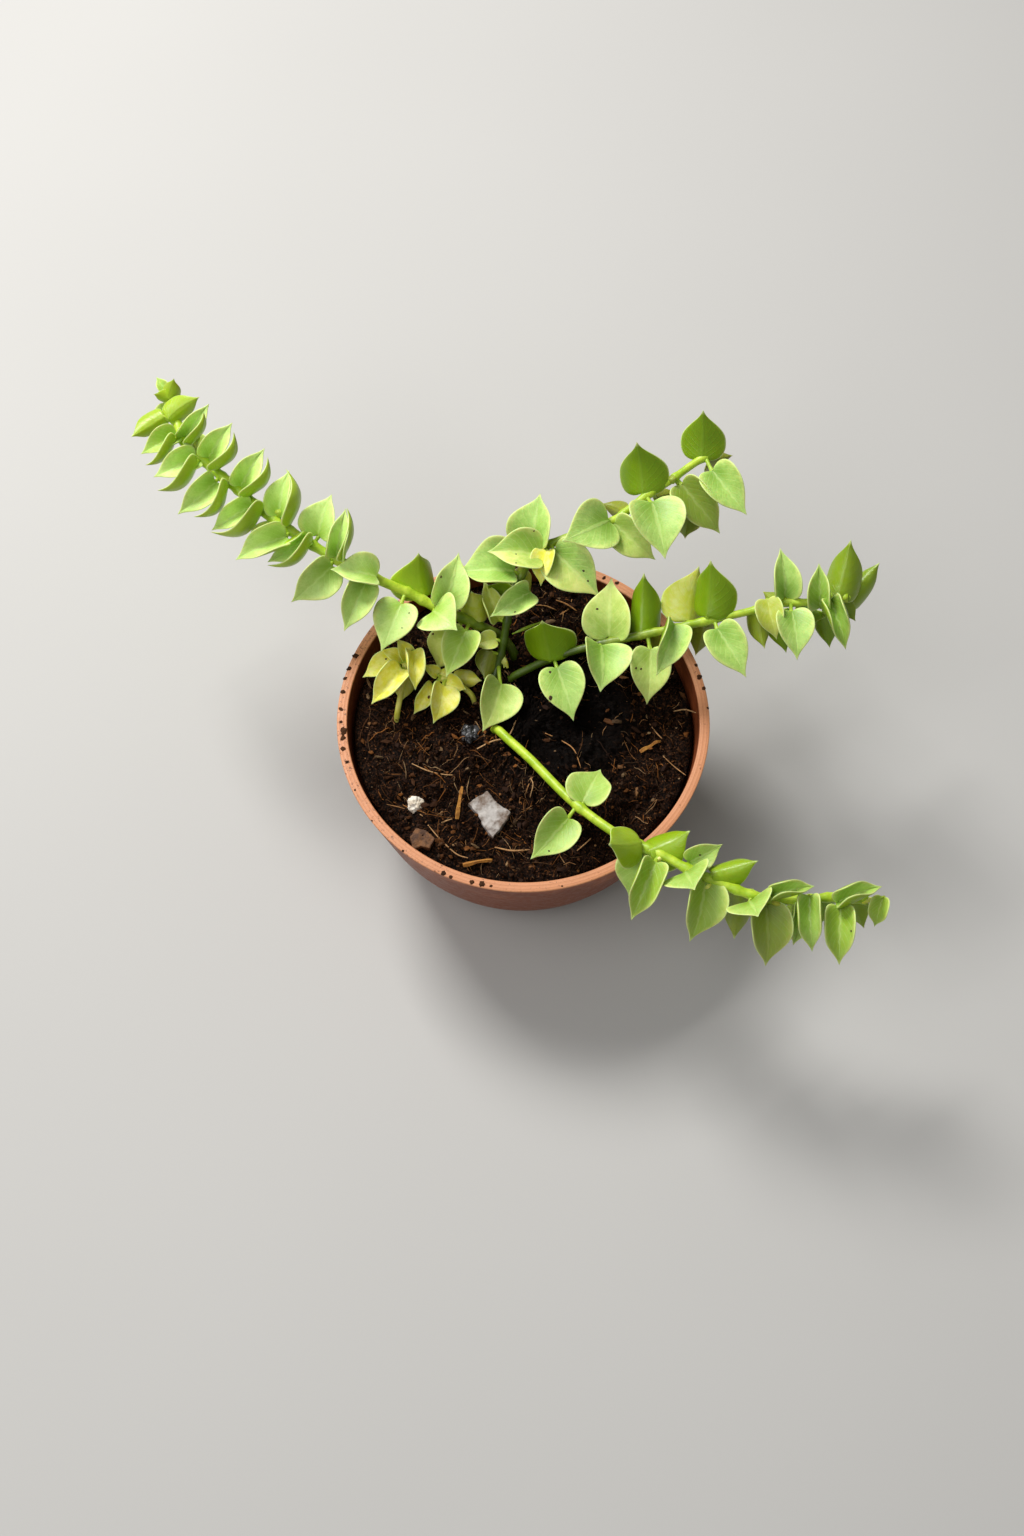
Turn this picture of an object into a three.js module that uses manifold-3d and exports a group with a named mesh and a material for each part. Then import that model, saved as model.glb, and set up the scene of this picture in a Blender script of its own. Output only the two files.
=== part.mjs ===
// A potted variegated dischidia: a shallow terracotta-coloured pot of dark potting mix, out of which four
// leafy vines trail over the rim, with two small yellowing shoots beside the crown.
// Millimetres, +Z up. The origin is the centre of the pot's flat underside, and the front is towards -Y.
import * as THREE from "three";
import { mergeVertices } from "three/addons/utils/BufferGeometryUtils.js";
import Module from "manifold-3d";

const wasm = await Module();
wasm.setup();

// Driving dimensions.
const GAP = 0.3; // clearance between two pieces that touch
const HOLE_GAP = 0.6; // clearance round a stem in its hole in the soil
const POT = {
  rimRadius: 65,
  height: 65,
  lipWidth: 3.7,
  lipHeight: 5,
  lipTaper: 2, // height over which the lip thins down to the wall
  wall: 2.4,
  floor: 3,
  sides: 36,
};
const DRAIN = { count: 6, radius: 3.5, ring: 21, sides: 12, reach: 12 };
const SOIL = {
  level: 58,
  relief: 1.2, // of the lumps
  calm: 8, // width of the even ground along the wall
  shoulder: 1, // how far the surface drops in its last stretch to the wall
  edge: 56,
  wallEdge: 57.6,
  rings: 9,
  sides: 30,
};
const ROOT = 11; // how far a stem reaches below the soil's surface
const MERGE = 1e-4; // points nearer than this are one
const FOOT_INSET = 2; // how far inside the pot's corner the soil's flat underside ends
const STEM = { halfSides: 3, step: 10, fewest: 6, marks: 240 };
const LEAF = {
  width: 0.88, // of the length
  rib: 0.85, // half thickness at the midrib
  margin: 0.36, // half thickness at the margin
  arch: 0.06, // rise of the middle, of the length
  belly: 0.9, // what the thickness adds to the outline of a belly that is seen from beside
  hang: 0.5, // share of the belly's outline that widens a half seen from beside
  spare: 1.02, // how much wider a half is than its widest view
  stalk: 0.85, // radius of the leaf stalk
  slim: 0.12, // of the length, the most that the stalk's radius reaches
  sunk: 0.1, // how much thinner than its stem a stalk stays
  fold: 0.2, // least half opening between the two halves, radians
  steepest: 100, // of one half against the plane of the leaf, degrees
  young: 16, // the length under which a leaf has no drawn-out neck to its tip
};

// The pot's outer wall below the rim, as radius and height.
const OUTER = [
  [34, 0],
  [41, 2.6],
  [46.5, 7.4],
  [51, 12.6],
  [54, 18],
  [57, 27],
  [65, 65],
];

// The outline of a leaf from the neck of its tip back to the lobes beside the stalk: how far along the
// blade its edge and its midrib stand, how wide it is there and how thick its midrib is, all as shares.
const OUTLINE = [
  { edge: 0.82, rib: 0.83, width: 0.26, thick: 0.6 },
  { edge: 0.56, rib: 0.56, width: 0.84, thick: 0.9 },
  { edge: 0.25, rib: 0.28, width: 1, thick: 1 },
  { edge: -0.03, rib: 0.09, width: 0.68, thick: 1 },
];

// The photograph's viewpoint. A pixel of its 1024 x 1536 frame and a height above the table, or a depth
// from the eye, give a point of the plant, so stems and leaves are noted where the photograph shows them.
const VIEW = {
  aim: new THREE.Vector3(-3.94, -19.26, 65),
  away: 680,
  tilt: THREE.MathUtils.degToRad(65.29),
  focal: 1977,
  middle: [512, 768],
};
const ACROSS = new THREE.Vector3(1, 0, 0);
const INWARD = new THREE.Vector3(0, Math.cos(VIEW.tilt), -Math.sin(VIEW.tilt));
const UPWARD = new THREE.Vector3(0, Math.sin(VIEW.tilt), Math.cos(VIEW.tilt));
const EYE = VIEW.aim.clone().addScaledVector(INWARD, -VIEW.away);

/** The way from the eye through a pixel, one millimetre deep. */
function sight([x, y]) {
  return INWARD.clone()
    .addScaledVector(ACROSS, (x - VIEW.middle[0]) / VIEW.focal)
    .addScaledVector(UPWARD, (VIEW.middle[1] - y) / VIEW.focal);
}

/** The point that a pixel shows at a depth from the eye. */
function atDepth(pixel, depth) {
  return EYE.clone().addScaledVector(sight(pixel), depth);
}

/** The point that a pixel shows at a height above the table. */
function atHeight(pixel, height) {
  return atDepth(pixel, (height - EYE.z) / sight(pixel).z);
}

/** A point's depth from the eye, and the pixel that shows it. */
function seen(point) {
  const from = point.clone().sub(EYE);
  const depth = from.dot(INWARD);
  const x = VIEW.middle[0] + (VIEW.focal * from.dot(ACROSS)) / depth;
  const y = VIEW.middle[1] - (VIEW.focal * from.dot(UPWARD)) / depth;
  return { depth, x, y };
}

// What the photograph can show of a leaf: its upper face, its under face, or its under face from beside,
// of which the first edge is the rim that stands towards the eye and the second the belly's outline.
const TOP = 1;
const UNDER = -1;
const SIDE = 0;

/**
 * A leaf as the photograph shows it: the pixels of its base and tip and of its two widest edges, the face
 * that shows, the lean of its tip towards the eye in degrees, how far in front of its stem it starts, and
 * the pixel of its foot on the stem where that isn't the place nearest to its base.
 */
function leaf(base, tip, edges, face, lean, front, foot = base) {
  return { base, tip, edges, face, lean, front, foot };
}

// The stems, as pixels with heights, from the soil to the tip, and their leaves.
const BACK_VINE = {
  radius: 1.3,
  route: [
    [493, 683, 58],
    [498, 665, 62],
    [503, 645, 67.5],
    [507, 622, 73.5],
    [515, 590, 80],
    [530, 561, 84.5],
    [545, 547, 87],
    [562, 539, 89],
    [611, 522, 92],
    [642, 499, 94.5],
    [671, 480, 96.5],
    [698, 461, 98],
    [718, 451, 99],
  ],
  leaves: [
    leaf([500, 684], [483, 732], [[477, 700], [522, 702]], TOP, 18, 3.5, [499, 663]),
    leaf([492, 652], [485, 680], [[474, 664], [499, 664]], UNDER, 0, 2),
    leaf([496, 640], [472, 645], [[484, 631], [488, 650]], TOP, 0, 1),
    leaf([529, 592], [490, 616], [[507, 590], [519, 615]], TOP, 15, 2),
    leaf([508, 601], [487, 584], [[492, 602], [508, 583]], UNDER, 16, -3.5),
    leaf([519, 598], [521, 563], [[513, 580], [531, 580]], UNDER, 30, -4),
    leaf([499, 620], [483, 581], [[484, 604], [502, 600]], TOP, 5, -2.5),
    leaf([540, 556], [487, 551], [[527, 528], [516, 567]], TOP, 5, 3.5),
    leaf([514, 572], [458, 573], [[490, 537], [495, 583]], TOP, 0, 1.5),
    leaf([533, 545], [542, 494], [[506, 531], [552, 522]], TOP, 5, -1),
    leaf([554, 551], [601, 596], [[600, 561], [551, 584]], TOP, 0, 2),
    leaf([541, 552], [537, 585], [[529, 566], [556, 570]], UNDER, -25, -2.5),
    leaf([608, 521], [563, 542], [[590, 499], [600, 553]], TOP, 25, 3),
    leaf([614, 523], [655, 561], [[612, 546], [647, 531]], TOP, -5, 0.5),
    leaf([643, 493], [638, 442], [[619, 478], [668, 467]], UNDER, 25, 0.5),
    leaf([651, 503], [664, 559], [[630, 517], [688, 522]], TOP, 18, 3),
    leaf([702, 458], [704, 411], [[680, 450], [726, 436]], UNDER, 28, 0.5),
    leaf([712, 471], [746, 516], [[701, 485], [749, 485]], TOP, 8, 3),
    leaf([681, 484], [721, 533], [[675, 504], [717, 499]], TOP, -10, -0.5),
    leaf([688, 497], [684, 539], [[676, 519], [701, 524]], TOP, -35, -4),
    leaf([708, 461], [733, 456], [[716, 449], [716, 470]], UNDER, -40, -3),
    leaf([655, 498], [677, 491], [[667, 484], [666, 506]], UNDER, -40, -3.5),
    leaf([622, 512], [602, 503], [[614, 497], [610, 516]], UNDER, -40, -3.5),
  ],
};

const LEFT_VINE = {
  radius: 1.25,
  route: [
    [514, 654, 58],
    [508, 644, 62],
    [499, 635, 66],
    [480, 626, 71],
    [460, 617, 75],
    [434, 606, 79.5],
    [409, 593, 83],
    [379, 580, 87],
    [336, 559, 91.5],
    [300, 537, 95],
    [270, 517, 97.5],
    [236, 488, 99.5],
    [205, 462, 101],
    [183, 440, 101.5],
    [175, 415, 102.5],
    [168, 400, 103.5],
  ],
  leaves: [
    leaf([466, 631], [447, 678], [[440, 643], [476, 652]], TOP, 12, 3),
    leaf([456, 634], [437, 670], [[422, 651], [452, 657]], TOP, -25, -2),
    leaf([479, 623], [472, 591], [[460, 603], [488, 611]], UNDER, 40, 1),
    leaf([445, 605], [460, 553], [[435, 580], [471, 585]], TOP, 5, 0.5),
    leaf([434, 612], [457, 629], [[449, 592], [430, 637]], TOP, 45, 3),
    leaf([424, 596], [417, 553], [[389, 577], [435, 583]], UNDER, 25, -1),
    leaf([401, 604], [382, 652], [[370, 620], [418, 617]], TOP, 10, 2.5),
    leaf([365, 583], [343, 631], [[338, 605], [379, 592]], TOP, 5, 2),
    leaf([376, 577], [330, 571], [[352, 551], [357, 583]], TOP, 15, 3.5),
    leaf([331, 565], [290, 601], [[306, 567], [336, 592]], TOP, 0, 1.5),
    leaf([341, 557], [346.5, 508], [[342, 535], [351, 535]], SIDE, 15, 3),
    leaf([337, 556], [346.5, 509], [[330, 535], [347, 533]], TOP, 19, 2),
    leaf([319, 536], [330.5, 494], [[299.5, 518], [338, 514]], TOP, 12, 0.5),
    leaf([311, 538], [267, 564.5], [[292, 548], [299, 558]], SIDE, 5, 3),
    leaf([306, 538], [268, 563], [[283, 547], [290, 557]], TOP, 5, 0),
    leaf([286, 537], [235, 559], [[264, 547], [270, 553]], SIDE, 5, 4),
    leaf([273, 528], [247, 541], [[256, 525], [263, 541]], TOP, -10, -3.5),
    leaf([288, 524], [288.5, 469], [[284, 500], [298, 497]], SIDE, 5, 4),
    leaf([280, 516], [289, 470], [[265, 496], [289, 496]], TOP, 5, 0.5),
    leaf([262, 507], [211, 533.5], [[244, 511], [251, 527]], SIDE, 0, 4.5),
    leaf([252, 506], [212, 531], [[231, 502], [236, 524]], TOP, 5, 1),
    leaf([247, 495], [267, 457], [[250, 477], [265, 481]], SIDE, 20, 4),
    leaf([241, 487], [263.5, 448], [[234, 470], [260, 474]], TOP, 16, 0.5),
    leaf([226, 485], [193.5, 516.5], [[214, 491], [217, 509]], SIDE, 10, 5),
    leaf([215, 482], [178.5, 515], [[200, 477], [206, 508]], TOP, 15, 1.5),
    leaf([216, 468], [235, 433], [[217, 452], [233, 455]], SIDE, 25, 4),
    leaf([209, 458], [232, 422], [[203, 440], [228, 447]], TOP, 20, 0.5),
    leaf([196, 463], [159, 492], [[175, 469], [186, 482]], SIDE, 15, 5),
    leaf([196, 459], [154, 478], [[176, 449], [176, 478]], TOP, 15, 1.5),
    leaf([191, 442], [203.5, 411.5], [[190, 428], [204, 427]], SIDE, 30, 4),
    leaf([186, 437], [208, 404], [[184, 422], [203, 428]], TOP, 29, 0.5),
    leaf([174, 440], [145, 464.5], [[157, 446], [166, 456]], SIDE, 15, 4.5),
    leaf([176, 436], [141, 454.5], [[158, 428], [159, 452]], TOP, 15, 1),
    leaf([163, 418], [131.5, 437.5], [[147, 422], [150, 431]], SIDE, 10, 3, [175, 426]),
    leaf([199, 437], [209, 459], [[194, 447], [208, 442]], TOP, -10, -3),
    leaf([169, 411], [151, 414], [[158, 404], [160, 417]], TOP, 10, -0.5),
    leaf([168, 403], [174.2, 379], [[163, 390], [182, 388]], UNDER, 35, 1.5),
    leaf([170, 399], [153.5, 394.5], [[160, 388], [159, 401]], UNDER, 25, 2.5),
    leaf([168, 394], [156, 377], [[156, 387], [168, 383]], TOP, 0, -1.5),
    leaf([172, 419], [200, 397.5], [[180, 393], [191, 411]], SIDE, 20, 3.5),
  ],
};

const RIGHT_VINE = {
  radius: 1.3,
  route: [
    [509, 680, 58],
    [530, 668, 63.5],
    [555, 657, 68.5],
    [588, 647, 73],
    [642, 635, 78.5],
    [679, 627, 81.5],
    [720, 618, 84],
    [755, 610, 86],
    [781, 603, 87.5],
    [809, 602, 89],
    [828, 597, 90],
    [848, 598, 91],
  ],
  leaves: [
    leaf([550, 660], [541, 622], [[527, 653], [576, 638]], UNDER, 40, 2),
    leaf([557, 668], [574.5, 721], [[540, 687], [588, 687]], TOP, 8, 2),
    leaf([610, 637], [613, 578], [[583, 612], [632, 609]], TOP, 5, -1),
    leaf([600, 646], [601, 692], [[585, 658], [632, 667]], TOP, 25, 2.5),
    leaf([641, 634], [643, 573], [[632, 604], [661, 604]], UNDER, 10, 0.5),
    leaf([650, 649], [648, 705], [[630, 673], [671, 674]], TOP, -5, 0),
    leaf([674, 625], [656, 675], [[659, 648], [684, 655]], TOP, 15, 4),
    leaf([656, 634], [656, 662], [[645, 644], [669, 644]], UNDER, -45, -3),
    leaf([688, 621], [698, 566], [[662, 600], [708, 602]], UNDER, 8, -3.5),
    leaf([707, 616], [711, 561], [[694, 601], [737, 592]], UNDER, 22, 1.5),
    leaf([703, 626], [696, 657], [[685, 640], [714, 638]], UNDER, -40, -3.5),
    leaf([717, 629], [747, 677], [[705, 644], [751, 643]], TOP, 8, 2),
    leaf([785, 597], [781, 548], [[774, 577], [801, 579]], TOP, 12, 0.5),
    leaf([778, 603], [763, 591], [[764, 604], [777, 590]], UNDER, -45, -3),
    leaf([767, 600], [776, 640], [[755, 611], [784, 612]], TOP, 0, 4),
    leaf([757, 613], [764, 649], [[748, 626], [771, 636]], UNDER, -10, 0.5),
    leaf([778, 614], [787, 653], [[765, 634], [797, 630]], UNDER, -25, -3),
    leaf([791, 612], [798, 660], [[777, 626], [815, 628]], TOP, 12, 4.5),
    leaf([797, 609], [826, 617], [[812, 605], [809, 629]], UNDER, -10, -1),
    leaf([825, 613], [829, 649], [[814, 632], [841, 634]], UNDER, -30, -4),
    leaf([821, 607], [820, 563], [[808, 585], [829, 585]], TOP, 20, 1.5),
    leaf([838, 597], [852, 540], [[827, 573], [863, 574]], UNDER, 8, 1.5),
    leaf([849, 600], [879, 562], [[861, 574], [872, 589]], UNDER, -5, -4),
    leaf([830, 600], [847, 649], [[833, 622], [847, 620]], TOP, 5, 4),
    leaf([842, 603], [856, 621], [[841, 614], [857, 607]], UNDER, -10, -2),
  ],
};

const FRONT_VINE = {
  radius: 1.5,
  route: [
    [496, 729, 58],
    [510, 741, 61],
    [530, 759, 64.5],
    [572, 801, 70.5],
    [617, 834, 74.5],
    [640, 845, 76],
    [662, 855, 77],
    [684, 867, 77.5],
    [707, 878, 77.5],
    [743, 892, 77],
    [769, 899, 76.5],
    [799, 900, 76],
    [839, 897, 75.5],
    [867, 900, 75],
  ],
  leaves: [
    leaf([583, 803], [601.5, 770], [[564, 785], [607, 799]], TOP, -35, 0),
    leaf([568, 818], [531, 860], [[549, 811], [573, 845]], TOP, 8, 1.5),
    leaf([640, 843], [610, 845], [[640, 825], [617, 869]], UNDER, 50, 3.5),
    leaf([645, 854], [630, 899], [[613, 872], [657, 878]], TOP, -22, -2),
    leaf([655, 862], [630, 920], [[632, 887], [664, 880]], TOP, 0, 2),
    leaf([650, 851], [691, 832], [[662, 833], [692, 861]], UNDER, 5, 1.5),
    leaf([689, 862], [723, 845], [[696, 845], [719, 864]], TOP, 10, -1.5),
    leaf([686, 873], [695, 889], [[669, 896], [712, 866]], TOP, 62, 2),
    leaf([712, 874], [758, 860], [[733, 861], [742, 884]], UNDER, 10, 1.5),
    leaf([704, 882], [690, 942], [[686, 910], [727, 909]], TOP, -8, 1),
    leaf([738, 894], [735, 941], [[720, 921], [753, 922]], UNDER, -30, -2),
    leaf([750, 902], [759, 917], [[735, 925], [772, 888]], TOP, 60, 2),
    leaf([772, 896], [815, 887], [[793, 881], [795, 890]], TOP, 5, 2.5),
    leaf([765, 905], [767, 967], [[751, 928], [793, 925]], TOP, -12, 0),
    leaf([809, 896], [811, 952], [[799, 925], [820, 922]], TOP, 0, 2.5),
    leaf([803, 902], [794, 946], [[793, 920], [808, 924]], TOP, -10, -2),
    leaf([797, 903], [792, 929], [[786, 913], [800, 917]], UNDER, -40, -3.5),
    leaf([829, 902], [820, 925], [[813, 907], [831, 914]], UNDER, -35, -1),
    leaf([840, 907], [838, 965], [[825, 925], [855, 921]], TOP, 0, 2),
    leaf([837, 904], [882, 886], [[857, 884], [861, 893]], TOP, 0, 2.5),
    leaf([852, 903], [865, 929], [[846, 914], [870, 906]], UNDER, -30, -1),
    leaf([883, 897], [875, 927], [[867, 912], [889, 908]], TOP, -20, 1, [867, 900]),
  ],
};

const NEAR_YELLOW_SHOOT = {
  radius: 0.95,
  route: [
    [474, 700, 58],
    [470, 693, 60.8],
    [457, 684, 62.8],
    [441, 678, 64],
  ],
  leaves: [
    leaf([437, 674], [423, 665], [[427, 674], [433, 663]], TOP, 25, 1),
    leaf([433, 686], [413, 714], [[416, 697], [433, 700]], TOP, 5, -0.5),
    leaf([443, 686], [434, 724], [[428, 705], [459, 701]], TOP, 12, 3),
    leaf([443, 679], [445, 667], [[438, 673], [451, 673]], UNDER, 20, 0),
    leaf([448, 680], [467, 689], [[461, 677], [452, 695]], TOP, 15, 1.5),
    leaf([454, 678], [482, 680], [[467, 670], [467, 688]], UNDER, 15, -1),
  ],
};

const FAR_YELLOW_SHOOT = {
  radius: 0.95,
  route: [
    [397, 716, 58],
    [400, 698, 62.5],
    [404, 677, 66],
    [405, 663, 68.5],
  ],
  leaves: [
    leaf([397, 662], [362, 677], [[378, 653], [381, 676]], TOP, 0, -2),
    leaf([401, 669], [372, 705], [[369, 685], [399, 687]], TOP, 10, 3),
    leaf([406, 673], [401, 703], [[391, 688], [415, 690]], UNDER, 0, 0),
    leaf([400, 657], [381, 650], [[388, 659], [392, 646]], TOP, 25, 0.5),
    leaf([407, 657], [397, 638], [[396, 650], [412, 645]], TOP, 30, 0),
    leaf([412, 652], [416, 690], [[409, 671], [426, 673]], TOP, 15, 3),
  ],
};

// Loose pieces on the soil: the pixels of their outlines and ends, and their real thickness.
const GREY_CHIP = {
  outline: [
    [468, 806],
    [487, 793],
    [498, 806],
    [511, 815],
    [505, 825],
    [493, 840],
    [483, 828],
    [478, 817],
  ],
  thickness: 2.6,
  sunk: 0.8,
};
const BARK = {
  outline: [
    [411, 836],
    [422, 830],
    [433, 838],
    [429, 849],
    [416, 850],
  ],
  thickness: 3,
  sunk: 1.2,
};
const PEBBLE = { pixel: [470, 735], radius: 3.1, flat: 0.7 };
const PERLITE = { pixel: [415, 806], radius: 3, flat: 0.8 };
const PROUD = 0.3; // how high a grain's middle lies over the soil, of its radius
const GRAIN_DETAIL = 1; // how often a grain's faces are split
const CORNER = 1.4; // how far a corner moves out for a margin round a flat piece
const STICKS = [
  [
    [457, 819],
    [462, 787],
  ],
  [
    [463, 866],
    [492, 860],
  ],
  [
    [640, 752],
    [660, 742],
  ],
];
const STICK = { radius: 0.75, sides: 6 };

// The finishes.
const FINISH = {
  pot: new THREE.MeshStandardMaterial({ color: 0xc0704a, roughness: 0.62 }),
  soil: new THREE.MeshStandardMaterial({ color: 0x2b1c14, roughness: 1 }),
  leaf: new THREE.MeshStandardMaterial({ color: 0x9dbb6a, roughness: 0.5 }),
  yellowLeaf: new THREE.MeshStandardMaterial({ color: 0xe4d850, roughness: 0.5 }),
  chip: new THREE.MeshStandardMaterial({ color: 0xbdb3a8, roughness: 0.9 }),
  bark: new THREE.MeshStandardMaterial({ color: 0x6b4b36, roughness: 0.9 }),
  pebble: new THREE.MeshStandardMaterial({ color: 0x35302e, roughness: 0.5 }),
  perlite: new THREE.MeshStandardMaterial({ color: 0xe9e4da, roughness: 0.9 }),
  stick: new THREE.MeshStandardMaterial({ color: 0xc07f2c, roughness: 0.7 }),
};

/** A three.js geometry as a closed solid. */
function solidOf(geometry) {
  const bare = new THREE.BufferGeometry()
    .setAttribute("position", geometry.getAttribute("position"))
    .setIndex(geometry.index);
  const merged = mergeVertices(bare, MERGE);
  return new wasm.Manifold(
    new wasm.Mesh({
      numProp: 3,
      vertProperties: new Float32Array(merged.attributes.position.array),
      triVerts: new Uint32Array(merged.index.array),
    }),
  );
}

/** A solid as a named mesh. */
function meshOf(name, solid, material) {
  const { vertProperties, triVerts } = solid.getMesh();
  const geometry = new THREE.BufferGeometry()
    .setAttribute("position", new THREE.BufferAttribute(vertProperties, 3))
    .setIndex(new THREE.BufferAttribute(triVerts, 1));
  geometry.computeVertexNormals();
  const mesh = new THREE.Mesh(geometry, material);
  mesh.name = name;
  return mesh;
}

/** A profile of radii and heights, turned round the Z axis. */
function turned(profile, sides) {
  const points = profile.map(([radius, height]) => new THREE.Vector2(radius, height));
  return new THREE.LatheGeometry(points, sides).rotateX(Math.PI / 2);
}

/** The pot's outer radius at a height. */
function outerRadius(height) {
  const top = OUTER.findIndex(([, z]) => z >= height);
  const [r1, z1] = OUTER[Math.max(top, 1)];
  const [r0, z0] = OUTER[Math.max(top, 1) - 1];
  return r0 + ((r1 - r0) * (height - z0)) / (z1 - z0);
}

/** The pot: a bowl with a flat lip, turned, with a ring of drain holes in its floor. */
function pot() {
  const { rimRadius, height, lipWidth, lipHeight, lipTaper, wall, floor, sides } = POT;
  const underLip = height - lipHeight - lipTaper;
  const inner = OUTER.slice(1, -1)
    .map(([radius, z]) => [radius - wall, z + wall])
    .filter(([, z]) => z > floor + wall);
  const profile = [
    [0, 0],
    ...OUTER,
    [rimRadius - lipWidth, height],
    [rimRadius - lipWidth, height - lipHeight],
    [outerRadius(underLip) - wall, underLip],
    ...inner.reverse(),
    [OUTER[1][0] - wall, floor],
    [0, floor],
  ];
  let bowl = solidOf(turned(profile, sides));
  for (let i = 0; i < DRAIN.count; i++) {
    const turn = ((i + 0.5) / DRAIN.count) * 2 * Math.PI;
    const hole = new THREE.CylinderGeometry(DRAIN.radius, DRAIN.radius, DRAIN.reach, DRAIN.sides)
      .rotateX(Math.PI / 2)
      .translate(DRAIN.ring * Math.cos(turn), DRAIN.ring * Math.sin(turn), 0);
    bowl = bowl.subtract(solidOf(hole));
  }
  return bowl;
}

/** The height of the soil's uneven surface over a point. */
function soilHeight(x, y) {
  const lumps =
    Math.sin(x / 4.9 + 0.6) * Math.cos(y / 4.1 - 0.4) +
    0.7 * Math.sin((x + y) / 2.7 + 1.9) +
    0.5 * Math.cos((x - 1.7 * y) / 6.3);
  const calm = 1 - THREE.MathUtils.smoothstep(Math.hypot(x, y), SOIL.edge - SOIL.calm, SOIL.edge);
  return SOIL.level + SOIL.relief * lumps * calm;
}

/** The soil: a plug that fills the pot to a little below its lip, with a crumbly surface. */
function soilPlug() {
  const rim = [SOIL.wallEdge, SOIL.level - SOIL.shoulder];
  const wall = OUTER.slice(2, -1).map(([r, z]) => [r - POT.wall - GAP, z + POT.wall + GAP]);
  const surface = Array.from({ length: SOIL.rings + 1 }, (_, i) => [
    SOIL.edge * (1 - i / SOIL.rings),
    SOIL.level,
  ]);
  const bottom = POT.floor + GAP;
  const profile = [[0, bottom], [OUTER[1][0] - POT.wall - FOOT_INSET, bottom], ...wall, rim, ...surface];
  const geometry = turned(profile, SOIL.sides);
  const place = geometry.getAttribute("position");
  for (let i = 0; i < place.count; i++) {
    if (place.getZ(i) > SOIL.level - SOIL.shoulder / 2) {
      place.setZ(i, soilHeight(place.getX(i), place.getY(i)));
    }
  }
  return solidOf(geometry);
}

/** The way a stem runs: from its root below the soil, straight up, and on along its noted route. */
function stemCurve({ route }) {
  const points = route.map(([x, y, height]) => atHeight([x, y], height));
  const root = points[0].clone().add(new THREE.Vector3(0, 0, -ROOT));
  return new THREE.CatmullRomCurve3([root, ...points], false, "centripetal");
}

/** A round tube along a stem. */
function stemTube(curve, radius) {
  const section = new THREE.Shape();
  section.absarc(0, 0, radius, 0, 2 * Math.PI);
  return new THREE.ExtrudeGeometry(section, {
    steps: Math.max(Math.round(curve.getLength() / STEM.step), STEM.fewest),
    curveSegments: STEM.halfSides,
    bevelEnabled: false,
    extrudePath: curve,
  });
}

/** The place on a stem that lies nearest to a pixel, as the photograph shows it. */
function onStem(curve, [x, y]) {
  let nearest = null;
  for (const point of curve.getSpacedPoints(STEM.marks)) {
    const at = seen(point);
    const off = Math.hypot(at.x - x, at.y - y);
    if (!nearest || off < nearest.off) {
      nearest = { off, point, depth: at.depth };
    }
  }
  return nearest;
}

/** How a half of a blade stands: its slope against the plane of the leaf, from the width that is seen. */
function slope(seenWidth, halfWidth) {
  const share = THREE.MathUtils.clamp(seenWidth / halfWidth, -1, 1);
  return Math.min(Math.acos(share), THREE.MathUtils.degToRad(LEAF.steepest));
}

/** How a leaf stands of which the photograph shows a face: its half width, its slopes and its arch. */
function seenFlat(widths, length) {
  const [left, right] = [-Math.min(...widths), Math.max(...widths)];
  const half = Math.max((LEAF.width * length) / 2, LEAF.spare * left, LEAF.spare * right);
  return { half, slopes: [slope(left, half), slope(right, half)], arch: LEAF.arch, turned: false };
}

/** How a leaf stands that is seen from beside: one half faces the eye, the other stands up behind it. */
function seenFromBeside(widths, length) {
  const [rim, hang] = widths.map(Math.abs);
  const seenWidth = rim + LEAF.hang * hang;
  const half = Math.max((LEAF.width * length) / 2, LEAF.spare * seenWidth);
  const slopes = [-slope(seenWidth, half), THREE.MathUtils.degToRad(LEAF.steepest)];
  return { half, slopes, arch: -Math.max(hang - LEAF.belly, 0) / length, turned: widths[0] > 0 };
}

/** A leaf's place in space: its foot and base, its length, its axes, and how its halves stand. */
function posed(noted, curve, stemRadius) {
  const foot = onStem(curve, noted.foot);
  const depth = foot.depth - noted.front;
  const base = atDepth(noted.base, depth);
  const flatTip = atDepth(noted.tip, depth);
  const lean = THREE.MathUtils.degToRad(noted.lean);
  const flat = flatTip.clone().sub(base);
  const toEye = EYE.clone().sub(base).normalize();
  const tip = flatTip.addScaledVector(toEye, flat.length() * Math.tan(lean));
  const along = tip.clone().sub(base);
  const length = along.length();
  along.normalize();
  const facing = toEye.addScaledVector(along, -toEye.dot(along)).normalize();
  const side = new THREE.Vector3().crossVectors(along, facing);
  const widths = noted.edges.map((edge) => atDepth(edge, depth).sub(base).dot(side));
  const view = noted.face === SIDE ? seenFromBeside : seenFlat;
  const { turned, ...stance } = view(widths, length);
  if (turned) {
    side.negate();
  }
  if (noted.face !== TOP) {
    facing.negate();
  }
  const stalk = Math.min(LEAF.stalk, stemRadius - LEAF.sunk, LEAF.slim * length);
  if (noted.face === UNDER) {
    side.negate();
    stance.slopes.reverse();
  }
  return { foot: foot.point, base, length, along, side, up: facing, stalk, ...stance };
}

/** The frames of a blade's halves: the way out to the margin, and the way over the upper face. */
function halvesOf({ side, up, slopes }) {
  return slopes.map((slope, i) => {
    const sign = i === 0 ? -1 : 1;
    return {
      out: side.clone().multiplyScalar(sign * Math.cos(slope)).addScaledVector(up, Math.sin(slope)),
      over: up.clone().multiplyScalar(Math.cos(slope)).addScaledVector(side, -sign * Math.sin(slope)),
    };
  });
}

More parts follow.
